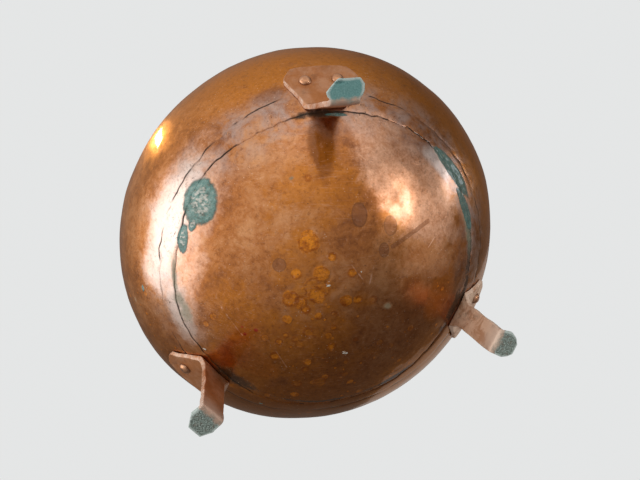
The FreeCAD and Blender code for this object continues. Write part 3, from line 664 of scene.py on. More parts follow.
class Finish:
    """A procedural material under construction. Lengths in its methods are in millimetres."""

    def __init__(self, name, metallic=1.0, roughness=0.4, **inputs):
        self.material = bpy.data.materials.new(name)
        self.material.use_nodes = True
        self.tree = self.material.node_tree
        self.tree.nodes.clear()
        inputs = {"Metallic": metallic, "Roughness": roughness, **inputs}
        self.shader = self.put("ShaderNodeBsdfPrincipled", inputs)
        output = self.tree.nodes.new("ShaderNodeOutputMaterial")
        self.tree.links.new(self.shader.outputs["BSDF"], output.inputs["Surface"])
        self.place = self.put("ShaderNodeTexCoord").outputs["Object"]

    def put(self, kind, inputs=None, **settings):
        made = self.tree.nodes.new(kind)
        for key, value in settings.items():
            setattr(made, key, value)
        for key, value in (inputs or {}).items():
            self.feed(made.inputs[key], value)
        return made

    def feed(self, socket, value):
        if isinstance(value, bpy.types.NodeSocket):
            self.tree.links.new(value, socket)
        else:
            socket.default_value = value

    def field(self, name):
        return self.put("ShaderNodeAttribute", attribute_name=name).outputs["Fac"]

    def math(self, operation, a, b=0.0, clamp=False):
        made = self.put("ShaderNodeMath", operation=operation, use_clamp=clamp)
        self.feed(made.inputs[0], a)
        self.feed(made.inputs[1], b)
        return made.outputs[0]

    def stretched(self, x, y, z, turn=(0.0, 0.0, 0.0)):
        """Coordinates that make a pattern longer along an axis."""
        made = self.put("ShaderNodeMapping", {"Vector": self.place, "Scale": (x, y, z), "Rotation": turn})
        return made.outputs["Vector"]

    def noise(self, size, detail=4.0, rough=0.55, bent=0.0, at=None, shift=0.0):
        """Cloudy noise of about unit range round 0.5, with features of a size."""
        inputs = {"Vector": at or self.place, "Scale": 1.0 / (size * MM), "W": shift}
        inputs.update({"Detail": detail, "Roughness": rough, "Distortion": bent})
        return self.put("ShaderNodeTexNoise", inputs, noise_dimensions="4D").outputs["Fac"]

    def cells(self, size, at=None, feature="F1"):
        inputs = {"Vector": at or self.place, "Scale": 1.0 / (size * MM)}
        return self.put("ShaderNodeTexVoronoi", inputs, feature=feature).outputs["Distance"]

    def band(self, value, low, high):
        """0 below low, 1 above high and smooth between; low may be the larger."""
        made = self.put("ShaderNodeMapRange", interpolation_type="SMOOTHSTEP")
        for socket, fed in zip(("Value", "From Min", "From Max"), (value, low, high)):
            self.feed(made.inputs[socket], fed)
        return made.outputs["Result"]

    def both(self, a, b):
        return self.math("MULTIPLY", a, b)

    def add(self, a, b):
        return self.math("ADD", a, b)

    def less(self, a, b, clamp=False):
        return self.math("SUBTRACT", a, b, clamp)

    def near(self, value, middle, low, high):
        """A band on a value's distance from a middle."""
        return self.band(self.math("ABSOLUTE", self.less(value, middle)), low, high)

    def most(self, *values):
        total = values[0]
        for value in values[1:]:
            total = self.math("MAXIMUM", total, value)
        return total

    def blend(self, share, a, b, mode="MIX"):
        made = self.put("ShaderNodeMix", data_type="RGBA", blend_type=mode)
        self.feed(made.inputs["Factor"], share)
        self.feed(made.inputs[6], a if isinstance(a, bpy.types.NodeSocket) else (*a, 1.0))
        self.feed(made.inputs[7], b if isinstance(b, bpy.types.NodeSocket) else (*b, 1.0))
        return made.outputs[2]

    def over(self, colour, share, strength, tone):
        """A colour with a tone laid over it, by a share at some strength."""
        return self.blend(self.both(share, strength), colour, tone)

    def between(self, share, a, b):
        """A number between two others."""
        made = self.put("ShaderNodeMix", data_type="FLOAT")
        self.feed(made.inputs["Factor"], share)
        self.feed(made.inputs["A"], a)
        self.feed(made.inputs["B"], b)
        return made.outputs["Result"]

    def ramp(self, value, *stops):
        made = self.put("ShaderNodeValToRGB", {"Fac": value})
        points = made.color_ramp.elements
        while len(points) < len(stops):
            points.new(0.5)
        for point, (where, colour) in zip(points, stops):
            point.position = where
            point.color = (*colour, 1.0)
        return made.outputs["Color"]

    def vector(self, operation, a, b=(0.0, 0.0, 0.0), out="Vector"):
        return self.put("ShaderNodeVectorMath", {0: a, 1: b}, operation=operation).outputs[out]

    def distance_to(self, x, y):
        """The distance from a place on the bottom's plan, in metres."""
        return self.vector("DISTANCE", self.place, on_bottom(x, y) * MM, "Value")

    def distance_to_line(self, x0, y0, x1, y1):
        """The distance from a straight line between two places on the bottom's plan, in metres."""
        start, end = on_bottom(x0, y0) * MM, on_bottom(x1, y1) * MM
        length = float(np.linalg.norm(end - start))
        along = (end - start) / length
        gap = self.vector("SUBTRACT", self.place, start)
        run = self.vector("DOT_PRODUCT", gap, along, "Value")
        kept = self.math("MINIMUM", self.math("MAXIMUM", run, 0.0), length)
        travelled = self.put("ShaderNodeVectorMath", {0: along, "Scale": kept}, operation="SCALE")
        return self.vector("DISTANCE", gap, travelled.outputs["Vector"], "Value")

    def finish(self, colour, roughness=None, metallic=None, bumps=()):
        """Joins colour, roughness and metal to the shader, with (height, millimetres) bumps in layers."""
        self.feed(self.shader.inputs["Base Color"], colour)
        if roughness is not None:
            self.feed(self.shader.inputs["Roughness"], roughness)
        if metallic is not None:
            self.feed(self.shader.inputs["Metallic"], metallic)
        normal = None
        for height, depth in bumps:
            made = self.put("ShaderNodeBump", {"Height": height, "Distance": depth * MM, "Strength": 1.0})
            if normal is not None:
                self.feed(made.inputs["Normal"], normal)
            normal = made.outputs["Normal"]
        if normal is not None:
            self.feed(self.shader.inputs["Normal"], normal)
        return self.material


EDGE_TINT = (0.96, 0.66, 0.42, 1.0)
COPPER_DARK = (0.215, 0.070, 0.020)
COPPER_BROWN = (0.30, 0.098, 0.026)
COPPER_WARM = (0.50, 0.180, 0.046)
COPPER_PALE = (0.70, 0.33, 0.14)
BARE_BROWN = (0.56, 0.235, 0.105)
BARE_PINK = (0.88, 0.52, 0.35)
LACQUER_ORANGE = (0.66, 0.225, 0.014)
AMBER_DARK = (0.42, 0.130, 0.014)
HIGHLIGHT_FROST = (0.86, 0.78, 0.74)
SEAM_HAZE = (0.52, 0.41, 0.38)
TEAL = (0.105, 0.285, 0.275)
TEAL_PALE = (0.34, 0.55, 0.53)
TEAL_DARK = (0.022, 0.075, 0.070)
TARNISH_GREEN = (0.27, 0.28, 0.20)
# Dark tone for soil, for the seams' dark lines and for the painted shade beside the feet.
GRIME_AND_SHADE_DARK = (0.016, 0.013, 0.010)
FLAKE_WHITE = (0.62, 0.68, 0.64)
RED_LEAD = (0.45, 0.02, 0.02)
DROP_BROWN = (0.50, 0.135, 0.005)
DROP_ORANGE = (0.98, 0.340, 0.018)
DROP_RIM = (0.30, 0.066, 0.005)
STAIN_BROWN = (0.31, 0.120, 0.052)
STAIN_RIM = (0.13, 0.055, 0.030)
PAINTED_SHADE_BROWN = (0.36, 0.115, 0.012)
# Dried drops on the bottom: plan x and y, radius and whether only the rim shows.
DROPS = (
    (25.5, 32.5, 3.1, False), (35, 19.7, 3.9, True), (32.7, 3.4, 2.0, False), (23.7, 2.3, 2.0, True),
    (46.8, 4.9, 3.2, False), (53, 40.5, 3.8, False), (77, 26, 3.8, True), (76, 11, 5.2, True),
    (72, -6, 2.4, True), (61, -6, 1.8, True), (43.5, -11.3, 1.9, True), (24.2, 13, 2.6, False),
    (14, 24, 5.0, False), (6, 14, 9.5, True), (-61, 16, 2.6, True), (-14, 4, 3.0, False),
    (58, 20, 3.0, False), (40, 28, 2.2, True), (-68, -56, 3.0, True), (88, 27, 3.0, False),
    (64, 21, 2.4, True), (44, 25, 2.8, True), (19, 21, 3.4, False), (-3, -8, 3.2, False),
    (-23, 18, 7.5, False), (-3.5, 11, 5.4, False), (10, 14, 6.5, False), (12, 30, 6.0, False),
    (15, -4, 4.2, False), (15, -12, 3.2, False), (16, -22, 3.0, True), (-4, 26, 3.5, False),
)
# Pale stains: plan x and y, half length and half width.
PALE_STAINS = (
    (-30.0, -34.0, 6.2, 4.4), (-15.5, -29.0, 4.6, 3.4), (-38.0, -14.0, 7.5, 5.0), (-10.0, 36.0, 4.2, 4.2),
)
# The run's and the scratches' ends, then flakes and dots with a radius, all on the plan.
RUN_START = (-17.0, -35.0)
RUN_END = (-30.0, -61.0)
SCRATCHES = (
    (-12, -5, 2, -15), (-6, -22, 6, -19), (-79, -11, -70, -21), (-66, -25, -57, -32), (-31, -76, -12, -60),
    (-73, -58, -48, -71), (18, 72, 37, 60), (-10, 62, -30, 52), (48, 40, 62, 33), (-58, 40, -50, 56),
)
FLAKES = ((3.5, 7.0, 4.6), (53.0, -4.5, 5.2), (51.0, 85.0, 3.0), (-3.5, -14.0, 2.0))
RED_DOTS = ((36.0, 58.5, 1.6), (33.0, 51.6, 1.8), (31.0, 60.0, 1.0))


def copper_tones(m, grain=1.0):
    """Uneven copper: broad clouds and mottling."""
    clouds = m.noise(60 * grain, 5.0, 0.55, 0.5)
    mottle = m.noise(9 * grain, 8.0, 0.72, 0.7, shift=3.0)
    tone = m.add(m.both(clouds, 0.5), m.both(mottle, 0.5))
    return m.ramp(tone, (0.40, COPPER_BROWN), (0.50, COPPER_WARM), (0.62, COPPER_PALE)), mottle


def hairlines(m, shift, turn):
    """Fine polishing scratches along one direction; 0 to 1."""
    grain = m.noise(0.6, 1.0, 0.4, at=m.stretched(1.0, 0.035, 1.0, turn), shift=shift)
    patches = m.band(m.noise(30, 3.0, 0.6, shift=shift + 2.0), 0.46, 0.66)
    return m.both(m.band(grain, 0.62, 0.70), patches)


def drop_marks(m):
    """Dried drops: (filled discs, rims), both 0 to 1."""
    discs, rims = 0.0, 0.0
    for x, y, radius, hollow in DROPS:
        gap = m.add(m.distance_to(x, y), m.both(m.wear, 0.0006 + 0.0010 * radius))
        rims = m.most(rims, m.near(gap, radius * 0.8 * MM, 0.0011, 0.0003))
        strength = 0.4 if hollow else 1.0
        discs = m.most(discs, m.both(m.band(gap, radius * MM, radius * 0.82 * MM), strength))
    front = m.both(m.band(m.parts["X"], -0.01, 0.03), m.band(m.noise(40, 2.0, shift=91.0), 0.42, 0.56))
    for size, radius in ((13.0, 0.20), (7.0, 0.17)):
        gap = m.cells(size)
        discs = m.most(discs, m.both(m.both(m.band(gap, radius, radius * 0.8), front), 0.8))
        rims = m.most(rims, m.both(m.near(gap, radius, 0.05, 0.01), front))
    return discs, rims


def pale_stains(m):
    """Clear stains with a darker skin round their edges, and the run between two of them."""
    stain, rim = 0.0, 0.0
    for x, y, length, width in PALE_STAINS:
        gap = m.vector("SUBTRACT", m.place, on_bottom(x, y) * MM)
        shaped = m.vector("MULTIPLY", gap, 1.0 / (np.array([length, width, length]) * MM))
        reach = m.add(m.vector("LENGTH", shaped, out="Value"), m.both(m.wear, 0.22))
        stain = m.most(stain, m.band(reach, 1.0, 0.88))
        rim = m.most(rim, m.near(reach, 0.97, 0.12, 0.02))
    aside = m.distance_to_line(*RUN_START, *RUN_END)
    line = m.band(m.add(aside, m.both(m.wear, 0.0008)), 0.0017, 0.0013)
    return m.most(stain, line), rim


def lacquer(m, colour, mottle, fine):
    """Amber lacquer, the bare copper where it has gone, and painted shade on the dark side and round the
    feet: (colour, amber, bare, shade).
    """
    amber = m.band(m.add(m.field("amber"), m.add(m.both(m.broad, 3.0), m.both(m.wear, 1.4))), -0.15, 0.45)
    amber_tone = m.ramp(m.noise(10, 6.0, 0.7, 0.8, shift=22.0), (0.34, AMBER_DARK), (0.62, LACQUER_ORANGE))
    colour = m.over(colour, amber, 0.72, amber_tone)
    # Painted shade: the copper darkens towards +X and -Y, standing in for the dark surroundings it mirrors on
    # that side.
    lean = m.add(m.both(m.parts["X"], 6.4), m.both(m.parts["Y"], -4.0))
    lean = m.add(lean, m.both(m.wear, 0.4))
    colour = m.over(colour, m.band(lean, -0.1, 0.75), 0.78, COPPER_DARK)
    rearward = m.band(m.add(m.parts["X"], m.both(m.parts["Y"], 0.55)), -0.02, -0.10)
    rim = m.both(m.band(m.parts["Z"], 0.060, 0.085), rearward)
    rim = m.both(rim, m.both(m.band(m.parts["Z"], 0.200, 0.135), m.band(m.add(m.wear, m.broad), -0.42, 0.02)))
    colour = m.over(colour, rim, 0.85, LACQUER_ORANGE)
    bare = m.band(m.add(m.field("bare"), m.add(m.both(m.broad, 1.3), m.both(m.wear, 0.5))), 0.02, 0.34)
    bare_tone = m.ramp(m.add(m.both(mottle, 0.6), m.both(fine, 0.4)), (0.38, BARE_BROWN), (0.62, BARE_PINK))
    colour = m.over(colour, bare, 0.88, bare_tone)
    # Painted shade behind the rear foot and over the feet's reflections in the bowl.
    shade = m.band(m.add(m.field("shade"), m.both(m.wear, 0.5)), 0.0, 0.35)
    colour = m.over(colour, shade, 0.8, PAINTED_SHADE_BROWN)
    return colour, amber, bare, shade


def drops_and_stains(m, colour, bare):
    """Dried drops, pale stains and red dots: (colour, discs, rims, the stains' rims)."""
    discs, rims = drop_marks(m)
    covered = m.less(1.0, m.both(bare, 0.85))
    drop_tone = m.ramp(m.noise(3.2, 4.0, 0.6, shift=93.0), (0.38, DROP_BROWN), (0.58, DROP_ORANGE))
    colour = m.over(colour, m.both(discs, covered), 0.88, drop_tone)
    colour = m.over(colour, m.both(m.both(rims, covered), m.band(m.ragged, 0.38, 0.55)), 0.6, DROP_RIM)
    stain, stain_rim = pale_stains(m)
    colour = m.over(colour, stain, 0.68, STAIN_BROWN)
    colour = m.over(colour, stain_rim, 0.45, STAIN_RIM)
    for x, y, radius in RED_DOTS:
        dot = m.band(m.add(m.distance_to(x, y), m.both(m.wear, 0.002)), radius * MM, radius * 0.5 * MM)
        colour = m.over(colour, dot, 0.8, RED_LEAD)
    return colour, discs, rims, stain_rim


def seam_dirt_and_shade(m, colour):
    """Haze, dark seam soil with painted shade beside the feet, a painted highlight frost and thin dark lines
    at the lap and the crimp: (colour, haze, dirt_and_shade, lines).
    """
    lap, crimp = m.field("lap_gap"), m.field("crimp_gap")
    beside = m.near(lap, 5.0, 20.0, 3.0)
    clean_front = m.band(m.add(m.parts["X"], m.both(m.wear, 0.06)), 0.07, 0.0)
    haze = m.both(m.both(beside, clean_front), m.band(m.noise(15, 6.0, 0.7, 0.6, shift=14.0), 0.36, 0.66))
    colour = m.over(colour, haze, 0.72, SEAM_HAZE)
    # Painted highlight, partly a pale bloom: a whitish frost over the copper where the lights are mirrored.
    frosted_highlight = m.band(m.add(m.field("haze"), m.add(m.both(m.broad, 1.2), m.both(m.wear, 0.7))), 0.0, 0.6)
    colour = m.over(colour, frosted_highlight, 0.62, HIGHLIGHT_FROST)
    broken = m.band(m.noise(15, 3.0, shift=41.0), 0.43, 0.54)
    wavering = m.both(m.wear, 1.1)
    lap_line = m.both(m.band(m.math("ABSOLUTE", m.add(lap, wavering)), 0.55, 0.12), broken)
    crimp_gap = m.math("ABSOLUTE", m.add(crimp, wavering))
    crimp_line = m.both(m.band(crimp_gap, 0.62, 0.15), m.band(m.noise(24, 3.0, shift=43.0), 0.43, 0.52))
    near_lap = m.near(lap, 2.0, 12.0, 1.0)
    pitted = m.both(near_lap, m.band(m.noise(14, 3.0, shift=46.0), 0.5, 0.62))
    pits = m.both(m.band(m.noise(1.7, 4.0, 0.75, shift=45.0), 0.585, 0.64), pitted)
    # Real soil along the seams and painted shade beside the feet, laid on in one dark tone.
    dirt_and_shade = m.band(m.add(m.field("grime_and_shade"), m.both(m.wear, 1.9)), 0.0, 0.5)
    colour = m.over(colour, dirt_and_shade, 0.86, GRIME_AND_SHADE_DARK)
    lines = m.most(m.both(lap_line, 0.92), m.both(crimp_line, 0.85), m.both(pits, 0.75))
    colour = m.blend(lines, colour, GRIME_AND_SHADE_DARK)
    return colour, haze, dirt_and_shade, lines


def green_marks(m, colour):
    """Green tarnish, and verdigris with a scraped middle: (colour, tarnish, crust, core, scrapes)."""
    tarnish = m.both(m.band(m.add(m.field("tarnish"), m.both(m.wear, 1.5)), 0.0, 0.75), 0.68)
    colour = m.blend(tarnish, colour, TARNISH_GREEN)
    depth = m.add(m.field("verdigris"), m.add(m.both(m.wear, 0.45), m.both(m.broad, 0.5)))
    crust = m.band(depth, 0.0, 0.16)
    scrapes = m.noise(1.6, 3.0, 0.6, at=m.stretched(1.0, 0.22, 1.0, (0.0, 0.0, 0.75)), shift=51.0)
    core = m.both(m.band(depth, 0.34, 0.55), m.band(scrapes, 0.42, 0.58))
    core = m.both(core, m.band(m.parts["Y"], -0.03, 0.01))
    teal = m.ramp(m.noise(3.6, 6.0, 0.75, shift=53.0), (0.32, TEAL_DARK), (0.50, TEAL), (0.70, TEAL_PALE))
    teal = m.over(teal, m.band(depth, 0.26, 0.06), 0.55, TEAL_DARK)
    teal = m.over(teal, m.band(m.parts["Y"], 0.0, -0.04), 0.62, TEAL_DARK)
    colour = m.over(colour, crust, 0.94, teal)
    colour = m.over(colour, m.both(crust, core), 0.85, (0.50, 0.50, 0.46))
    return colour, tarnish, crust, core, scrapes


def chalky_flakes(m, colour, scrapes):
    """Flakes of chalky scale: (colour, flakes)."""
    flakes = 0.0
    for x, y, radius in FLAKES:
        flakes = m.most(flakes, m.band(m.distance_to(x, y), radius * MM, radius * 0.2 * MM))
    flakes = m.both(m.band(m.add(m.both(flakes, 0.42), scrapes), 0.88, 0.95), m.band(flakes, 0.05, 0.3))
    colour = m.over(colour, flakes, 0.85, FLAKE_WHITE)
    return colour, flakes


def specks_and_scratches(m, colour):
    """Grain, dust, dark specks, scratches and hairlines: (colour, hairlines)."""
    grain = m.noise(2.6, 8.0, 0.8, 0.3, shift=32.0)
    colour = m.blend(m.both(m.band(grain, 0.50, 0.36), 0.55), colour, (0.42, 0.33, 0.28), "MULTIPLY")
    colour = m.over(colour, m.band(grain, 0.55, 0.68), 0.35, BARE_PINK)
    dust = m.both(m.band(m.cells(2.7), 0.13, 0.08), m.band(m.noise(30, 3.0, shift=33.0), 0.44, 0.6))
    colour = m.over(colour, dust, 0.60, (0.86, 0.68, 0.52))
    specks = m.both(m.band(m.cells(4.7), 0.10, 0.06), m.band(m.noise(26, 2.0, shift=31.0), 0.46, 0.6))
    colour = m.over(colour, specks, 0.6, (0.09, 0.04, 0.022))
    scored = 0.0
    for line in SCRATCHES:
        gap = m.add(m.distance_to_line(*line), m.both(m.wear, 0.0016))
        scored = m.most(scored, m.band(gap, 0.0006, 0.0002))
    scored = m.both(scored, m.band(m.noise(5.0, 3.0, shift=59.0), 0.40, 0.54))
    colour = m.over(colour, scored, 0.75, BARE_PINK)
    strokes = ((61.0, (0.0, 0.0, 1.45)), (65.0, (0.0, 0.0, 0.7)), (69.0, (0.3, 0.0, -0.5)))
    hair = m.most(*[hairlines(m, shift, turn) for shift, turn in strokes])
    colour = m.over(colour, hair, 0.22, BARE_PINK)
    return colour, hair


def boiler_copper():
    """Old lacquered copper: bare pinkish patches, amber stains, dried drops, a dirty lap and verdigris, with
    painted shade and painted highlights.
    """
    m = Finish("boiler_copper", **{"Coat Weight": 0.45, "Coat Roughness": 0.07, "Specular Tint": EDGE_TINT})
    colour, mottle = copper_tones(m)
    m.parts = m.put("ShaderNodeSeparateXYZ", {"Vector": m.place}).outputs
    m.ragged = m.noise(7, 6.0, 0.68, 0.4, shift=7.0)
    m.wear = m.less(m.ragged, 0.5)
    m.broad = m.less(m.noise(28, 5.0, 0.6, 0.8, shift=8.0), 0.5)
    fine = m.noise(1.6, 3.0, 0.6, shift=9.0)
    colour, amber, bare, shade = lacquer(m, colour, mottle, fine)
    colour, discs, rims, stain_rim = drops_and_stains(m, colour, bare)
    colour, haze, dirt_and_shade, lines = seam_dirt_and_shade(m, colour)
    colour, tarnish, crust, core, scrapes = green_marks(m, colour)
    colour, flakes = chalky_flakes(m, colour, scrapes)
    colour, hair = specks_and_scratches(m, colour)
    rough = m.between(mottle, 0.22, 0.40)
    rough = m.add(rough, m.both(m.most(discs, amber, haze), 0.08))
    rough = m.add(rough, m.both(shade, 0.24))
    dull = m.most(m.both(crust, m.less(1.0, core)), m.both(dirt_and_shade, 0.8), lines, flakes, m.both(tarnish, 0.6))
    rough = m.between(dull, rough, 0.8)
    scale = m.both(crust, m.less(1.0, m.both(core, 0.6)))
    unmetal = m.most(scale, m.both(tarnish, 0.7), flakes, m.both(dirt_and_shade, 0.6))
    lumps = m.noise(1.8, 5.0, 0.7, shift=81.0)
    bumps = (
        (m.noise(6.5, 3.0, 0.5, shift=71.0), 0.05),
        (fine, 0.010),
        (hair, -0.004),
        (m.most(m.both(stain_rim, 0.6), rims), 0.03),
        (m.both(m.most(crust, flakes), lumps), 0.28),
    )
    return m.finish(colour, rough, m.less(1.0, unmetal, True), bumps)


# The tones of the crust on the toes, from its pits to its crests.
CRUST_STOPS = (
    (0.36, (0.020, 0.026, 0.022)),
    (0.47, (0.16, 0.22, 0.20)),
    (0.56, (0.26, 0.36, 0.34)),
    (0.68, (0.60, 0.72, 0.68)),
)


def foot_copper():
    """Forged copper bar: dull browned faces, pale worn edges, a verdigris crust under the toes and painted
    light on the right foot's leg.
    """
    m = Finish("foot_copper", **{"Coat Weight": 0.06, "Coat Roughness": 0.3})
    tones, mottle = copper_tones(m, 0.6)
    edge, tip = m.field("edge"), m.field("tip")
    parts = m.put("ShaderNodeSeparateXYZ", {"Vector": m.place}).outputs
    ragged = m.noise(4, 6.0, 0.68, shift=5.0)
    wear = m.less(ragged, 0.5)
    colour = m.blend(0.5, tones, (0.52, 0.225, 0.100))
    bare = m.band(m.noise(12, 6.0, 0.68, shift=11.0), 0.40, 0.62)
    colour = m.over(colour, bare, 0.5, (0.66, 0.40, 0.26))
    # Painted light: the right foot's leg, far out on -Y, is made pale as if lit by the left window.
    painted_lit_leg = m.band(m.add(parts["Y"], m.both(wear, 0.02)), -0.070, -0.098)
    colour = m.over(colour, painted_lit_leg, 0.82, (0.95, 0.71, 0.53))
    pale = m.both(m.band(edge, 0.76, 1.0), m.band(ragged, 0.34, 0.60))
    colour = m.over(colour, pale, 0.72, (0.78, 0.62, 0.52))
    soot = m.both(m.band(m.noise(8, 6.0, 0.7, shift=15.0), 0.54, 0.70), 0.45)
    colour = m.blend(soot, colour, (0.13, 0.060, 0.036))
    stained = m.both(m.band(m.noise(14, 5.0, 0.7, 0.6, shift=16.0), 0.48, 0.62), 0.6)
    colour = m.blend(stained, colour, (0.46, 0.175, 0.050))
    reach = m.add(tip, m.both(wear, 7.0))
    crust = m.band(reach, -0.8, 2.0)
    haze = m.both(m.band(reach, -20.0, 0.0), 0.5)
    colour = m.blend(haze, colour, (0.60, 0.52, 0.47))
    grit = m.noise(0.8, 3.0, 0.7, shift=25.0)
    teal = m.ramp(grit, *CRUST_STOPS)
    rusty = m.both(m.band(m.noise(2.4, 4.0, 0.7, shift=27.0), 0.50, 0.66), 0.5)
    teal = m.blend(rusty, teal, (0.17, 0.12, 0.09))
    teal = m.over(teal, m.band(parts["X"], -0.04, -0.08), 0.72, (0.11, 0.36, 0.37))
    rim = m.both(m.band(edge, 0.42, 0.80), m.band(ragged, 0.30, 0.52))
    teal = m.over(teal, rim, 0.8, (0.58, 0.70, 0.68))
    colour = m.over(colour, crust, 0.95, teal)
    rough = m.between(crust, m.between(mottle, 0.48, 0.68), 0.9)
    dull = m.most(crust, m.both(haze, 0.6), m.both(painted_lit_leg, 0.45))
    metal = m.less(0.80, dull, True)
    bumps = (
        (m.noise(2.6, 5.0, 0.6, shift=35.0), 0.12),
        (m.both(crust, grit), 0.5),
        (m.noise(0.6, 2.0, shift=36.0), 0.02),
    )
    return m.finish(colour, rough, metal, bumps)


def rivet_copper():
    """Hammered rivet heads, bright on top, with painted shade darkening the foot of each dome."""
    m = Finish("rivet_copper")
    tones, mottle = copper_tones(m, 0.4)
    # Painted shade: the foot of each dome, where it meets the plate, is darkened.
    colour = m.blend(m.band(m.field("edge"), 0.55, 0.05), tones, (0.07, 0.045, 0.035))
    colour = m.over(colour, m.band(m.noise(2.2, 4.0, shift=5.0), 0.55, 0.7), 0.5, (0.78, 0.52, 0.36))
    colour = m.blend(0.35, colour, (0.86, 0.56, 0.40))
    return m.finish(colour, m.between(mottle, 0.22, 0.42), None, ((m.noise(1.4, 3.0, shift=8.0), 0.14),))


def worn_copper(name, flats, dark):
    """Planished copper sheet, as on the shoulder and head, with the hammer's flats as broad shallow bumps."""
    m = Finish(name, **{"Coat Weight": 0.16, "Coat Roughness": 0.12, "Specular Tint": EDGE_TINT})
    colour, mottle = copper_tones(m)
    colour = m.over(colour, m.band(m.noise(40, 4.0, 0.6, 0.8, shift=5.0), 0.45, 0.7), dark, COPPER_DARK)
    lacquered = m.band(m.noise(24, 3.0, 0.5, 1.2, shift=8.0), 0.56, 0.72)
    colour = m.over(colour, lacquered, 0.5, LACQUER_ORANGE)
    colour = m.over(colour, m.band(m.noise(30, 5.0, 0.6, 1.0, shift=12.0), 0.54, 0.72), 0.4, SEAM_HAZE)
    specks = m.both(m.band(m.cells(4.0), 0.10, 0.05), m.band(m.noise(26, 2.0, shift=31.0), 0.5, 0.62))
    colour = m.over(colour, specks, 0.6, (0.10, 0.055, 0.035))
    green = m.both(m.band(m.noise(20, 6.0, 0.7, shift=17.0), 0.66, 0.74), 0.8)
    colour = m.blend(green, colour, TEAL)
    rough = m.between(green, m.between(mottle, 0.24, 0.42), 0.8)
    beaten = m.both(m.cells(flats), m.cells(flats))
    bumps = (
        (beaten, 0.35),
        (m.noise(5.5, 4.0, 0.5, shift=71.0), 0.05),
        (m.noise(1.6, 3.0, shift=72.0), 0.012),
    )
    return m.finish(colour, rough, m.less(1.0, green, True), bumps)


def old_brass(name, base, dark):
    """Dull brass, browned in spots and rubbed bright in places."""
    m = Finish(name)
    tone = m.noise(9, 6.0, 0.65, 0.4)
    colour = m.ramp(tone, (0.32, dark), (0.52, base), (0.72, tuple(min(1.0, c * 1.35) for c in base)))
    spots = m.both(m.band(m.noise(5, 6.0, 0.7, shift=4.0), 0.60, 0.70), 0.6)
    colour = m.blend(spots, colour, (0.07, 0.055, 0.035))
    rough = m.between(m.noise(6, 4.0, shift=9.0), 0.28, 0.5)
    bumps = ((m.noise(3.0, 4.0, shift=6.0), 0.06), (m.noise(0.7, 2.0, shift=7.0), 0.01))
    return m.finish(colour, rough, None, bumps)


def linen_packing():
    """Linen strip wound flat and stiffened with dried paste."""
    m = Finish("packing", metallic=0.0, roughness=0.9)
    winding = {"Vector": m.place, "Scale": 260.0, "Distortion": 1.5}
    threads = m.put("ShaderNodeTexWave", winding, wave_type="RINGS").outputs["Fac"]
    paste = m.noise(5, 5.0, 0.6)
    colour = m.ramp(paste, (0.3, (0.30, 0.24, 0.15)), (0.55, (0.55, 0.47, 0.33)), (0.75, (0.74, 0.68, 0.53)))
    colour = m.over(colour, threads, 0.35, (0.28, 0.22, 0.14))
    return m.finish(colour, None, None, ((threads, 0.25), (paste, 0.2)))


# ---- CAD nodes that keep their own shape ----

def dress_cad_nodes(finishes):
    """Gives every shown CAD node its material and softened edges."""
    for row in frame["record"]["subparts"]:
        piece = frame["nodes"][row["node"]]
        if piece.hide_render:
            continue
        finish = finishes[row["material_slot"]]
        if piece.material_slots:
            for slot in piece.material_slots:
                slot.link = "OBJECT"
                slot.material = finish
        else:
            piece.data.materials.append(finish)
        weld = piece.modifiers.new("weld", "WELD")
        weld.merge_threshold = 0.000005
        bevel = piece.modifiers.new("worn_edges", "BEVEL")
        bevel.width = 0.0004
        bevel.segments = 2
        bevel.limit_method = "ANGLE"
        bevel.angle_limit = math.radians(40)
        bevel.harden_normals = True


# ---- stage, lights and camera ----

BODY_MIDDLE = Vector((0.0, 0.0, EQUATOR * MM))


def pale_floor():
    """A pale floor, open from below because the view is from there, and the lights' list that skips it."""
    mesh = bpy.data.meshes.new("floor")
    corners = [(-6, -6), (6, -6), (6, 6), (-6, 6)]
    mesh.from_pydata([(x, y, -0.0004) for x, y in corners], [], [(0, 1, 2, 3)])
    floor = bpy.data.objects.new("floor", mesh)
    bpy.context.scene.collection.objects.link(floor)
    material = bpy.data.materials.new("floor_paper")
    material.use_nodes = True
    nodes, links = material.node_tree.nodes, material.node_tree.links
    nodes.clear()
    paper = nodes.new("ShaderNodeBsdfPrincipled")
    paper.inputs["Base Color"].default_value = (0.74, 0.73, 0.71, 1.0)
    paper.inputs["Roughness"].default_value = 0.9
    paper.inputs["Emission Color"].default_value = (1.0, 0.99, 0.97, 1.0)
    paper.inputs["Emission Strength"].default_value = 0.30
    clear = nodes.new("ShaderNodeBsdfTransparent")
    side = nodes.new("ShaderNodeNewGeometry")
    mixed = nodes.new("ShaderNodeMixShader")
    output = nodes.new("ShaderNodeOutputMaterial")
    links.new(side.outputs["Backfacing"], mixed.inputs["Fac"])
    links.new(paper.outputs["BSDF"], mixed.inputs[1])
    links.new(clear.outputs["BSDF"], mixed.inputs[2])
    links.new(mixed.outputs["Shader"], output.inputs["Surface"])
    floor.data.materials.append(material)
    floor.visible_shadow = False
    floor.visible_diffuse = False
    floor.visible_glossy = False
    unlit = bpy.data.collections.new("unlit_floor")
    unlit.objects.link(floor)
    unlit.collection_objects[0].light_linking.link_state = "EXCLUDE"
    return unlit


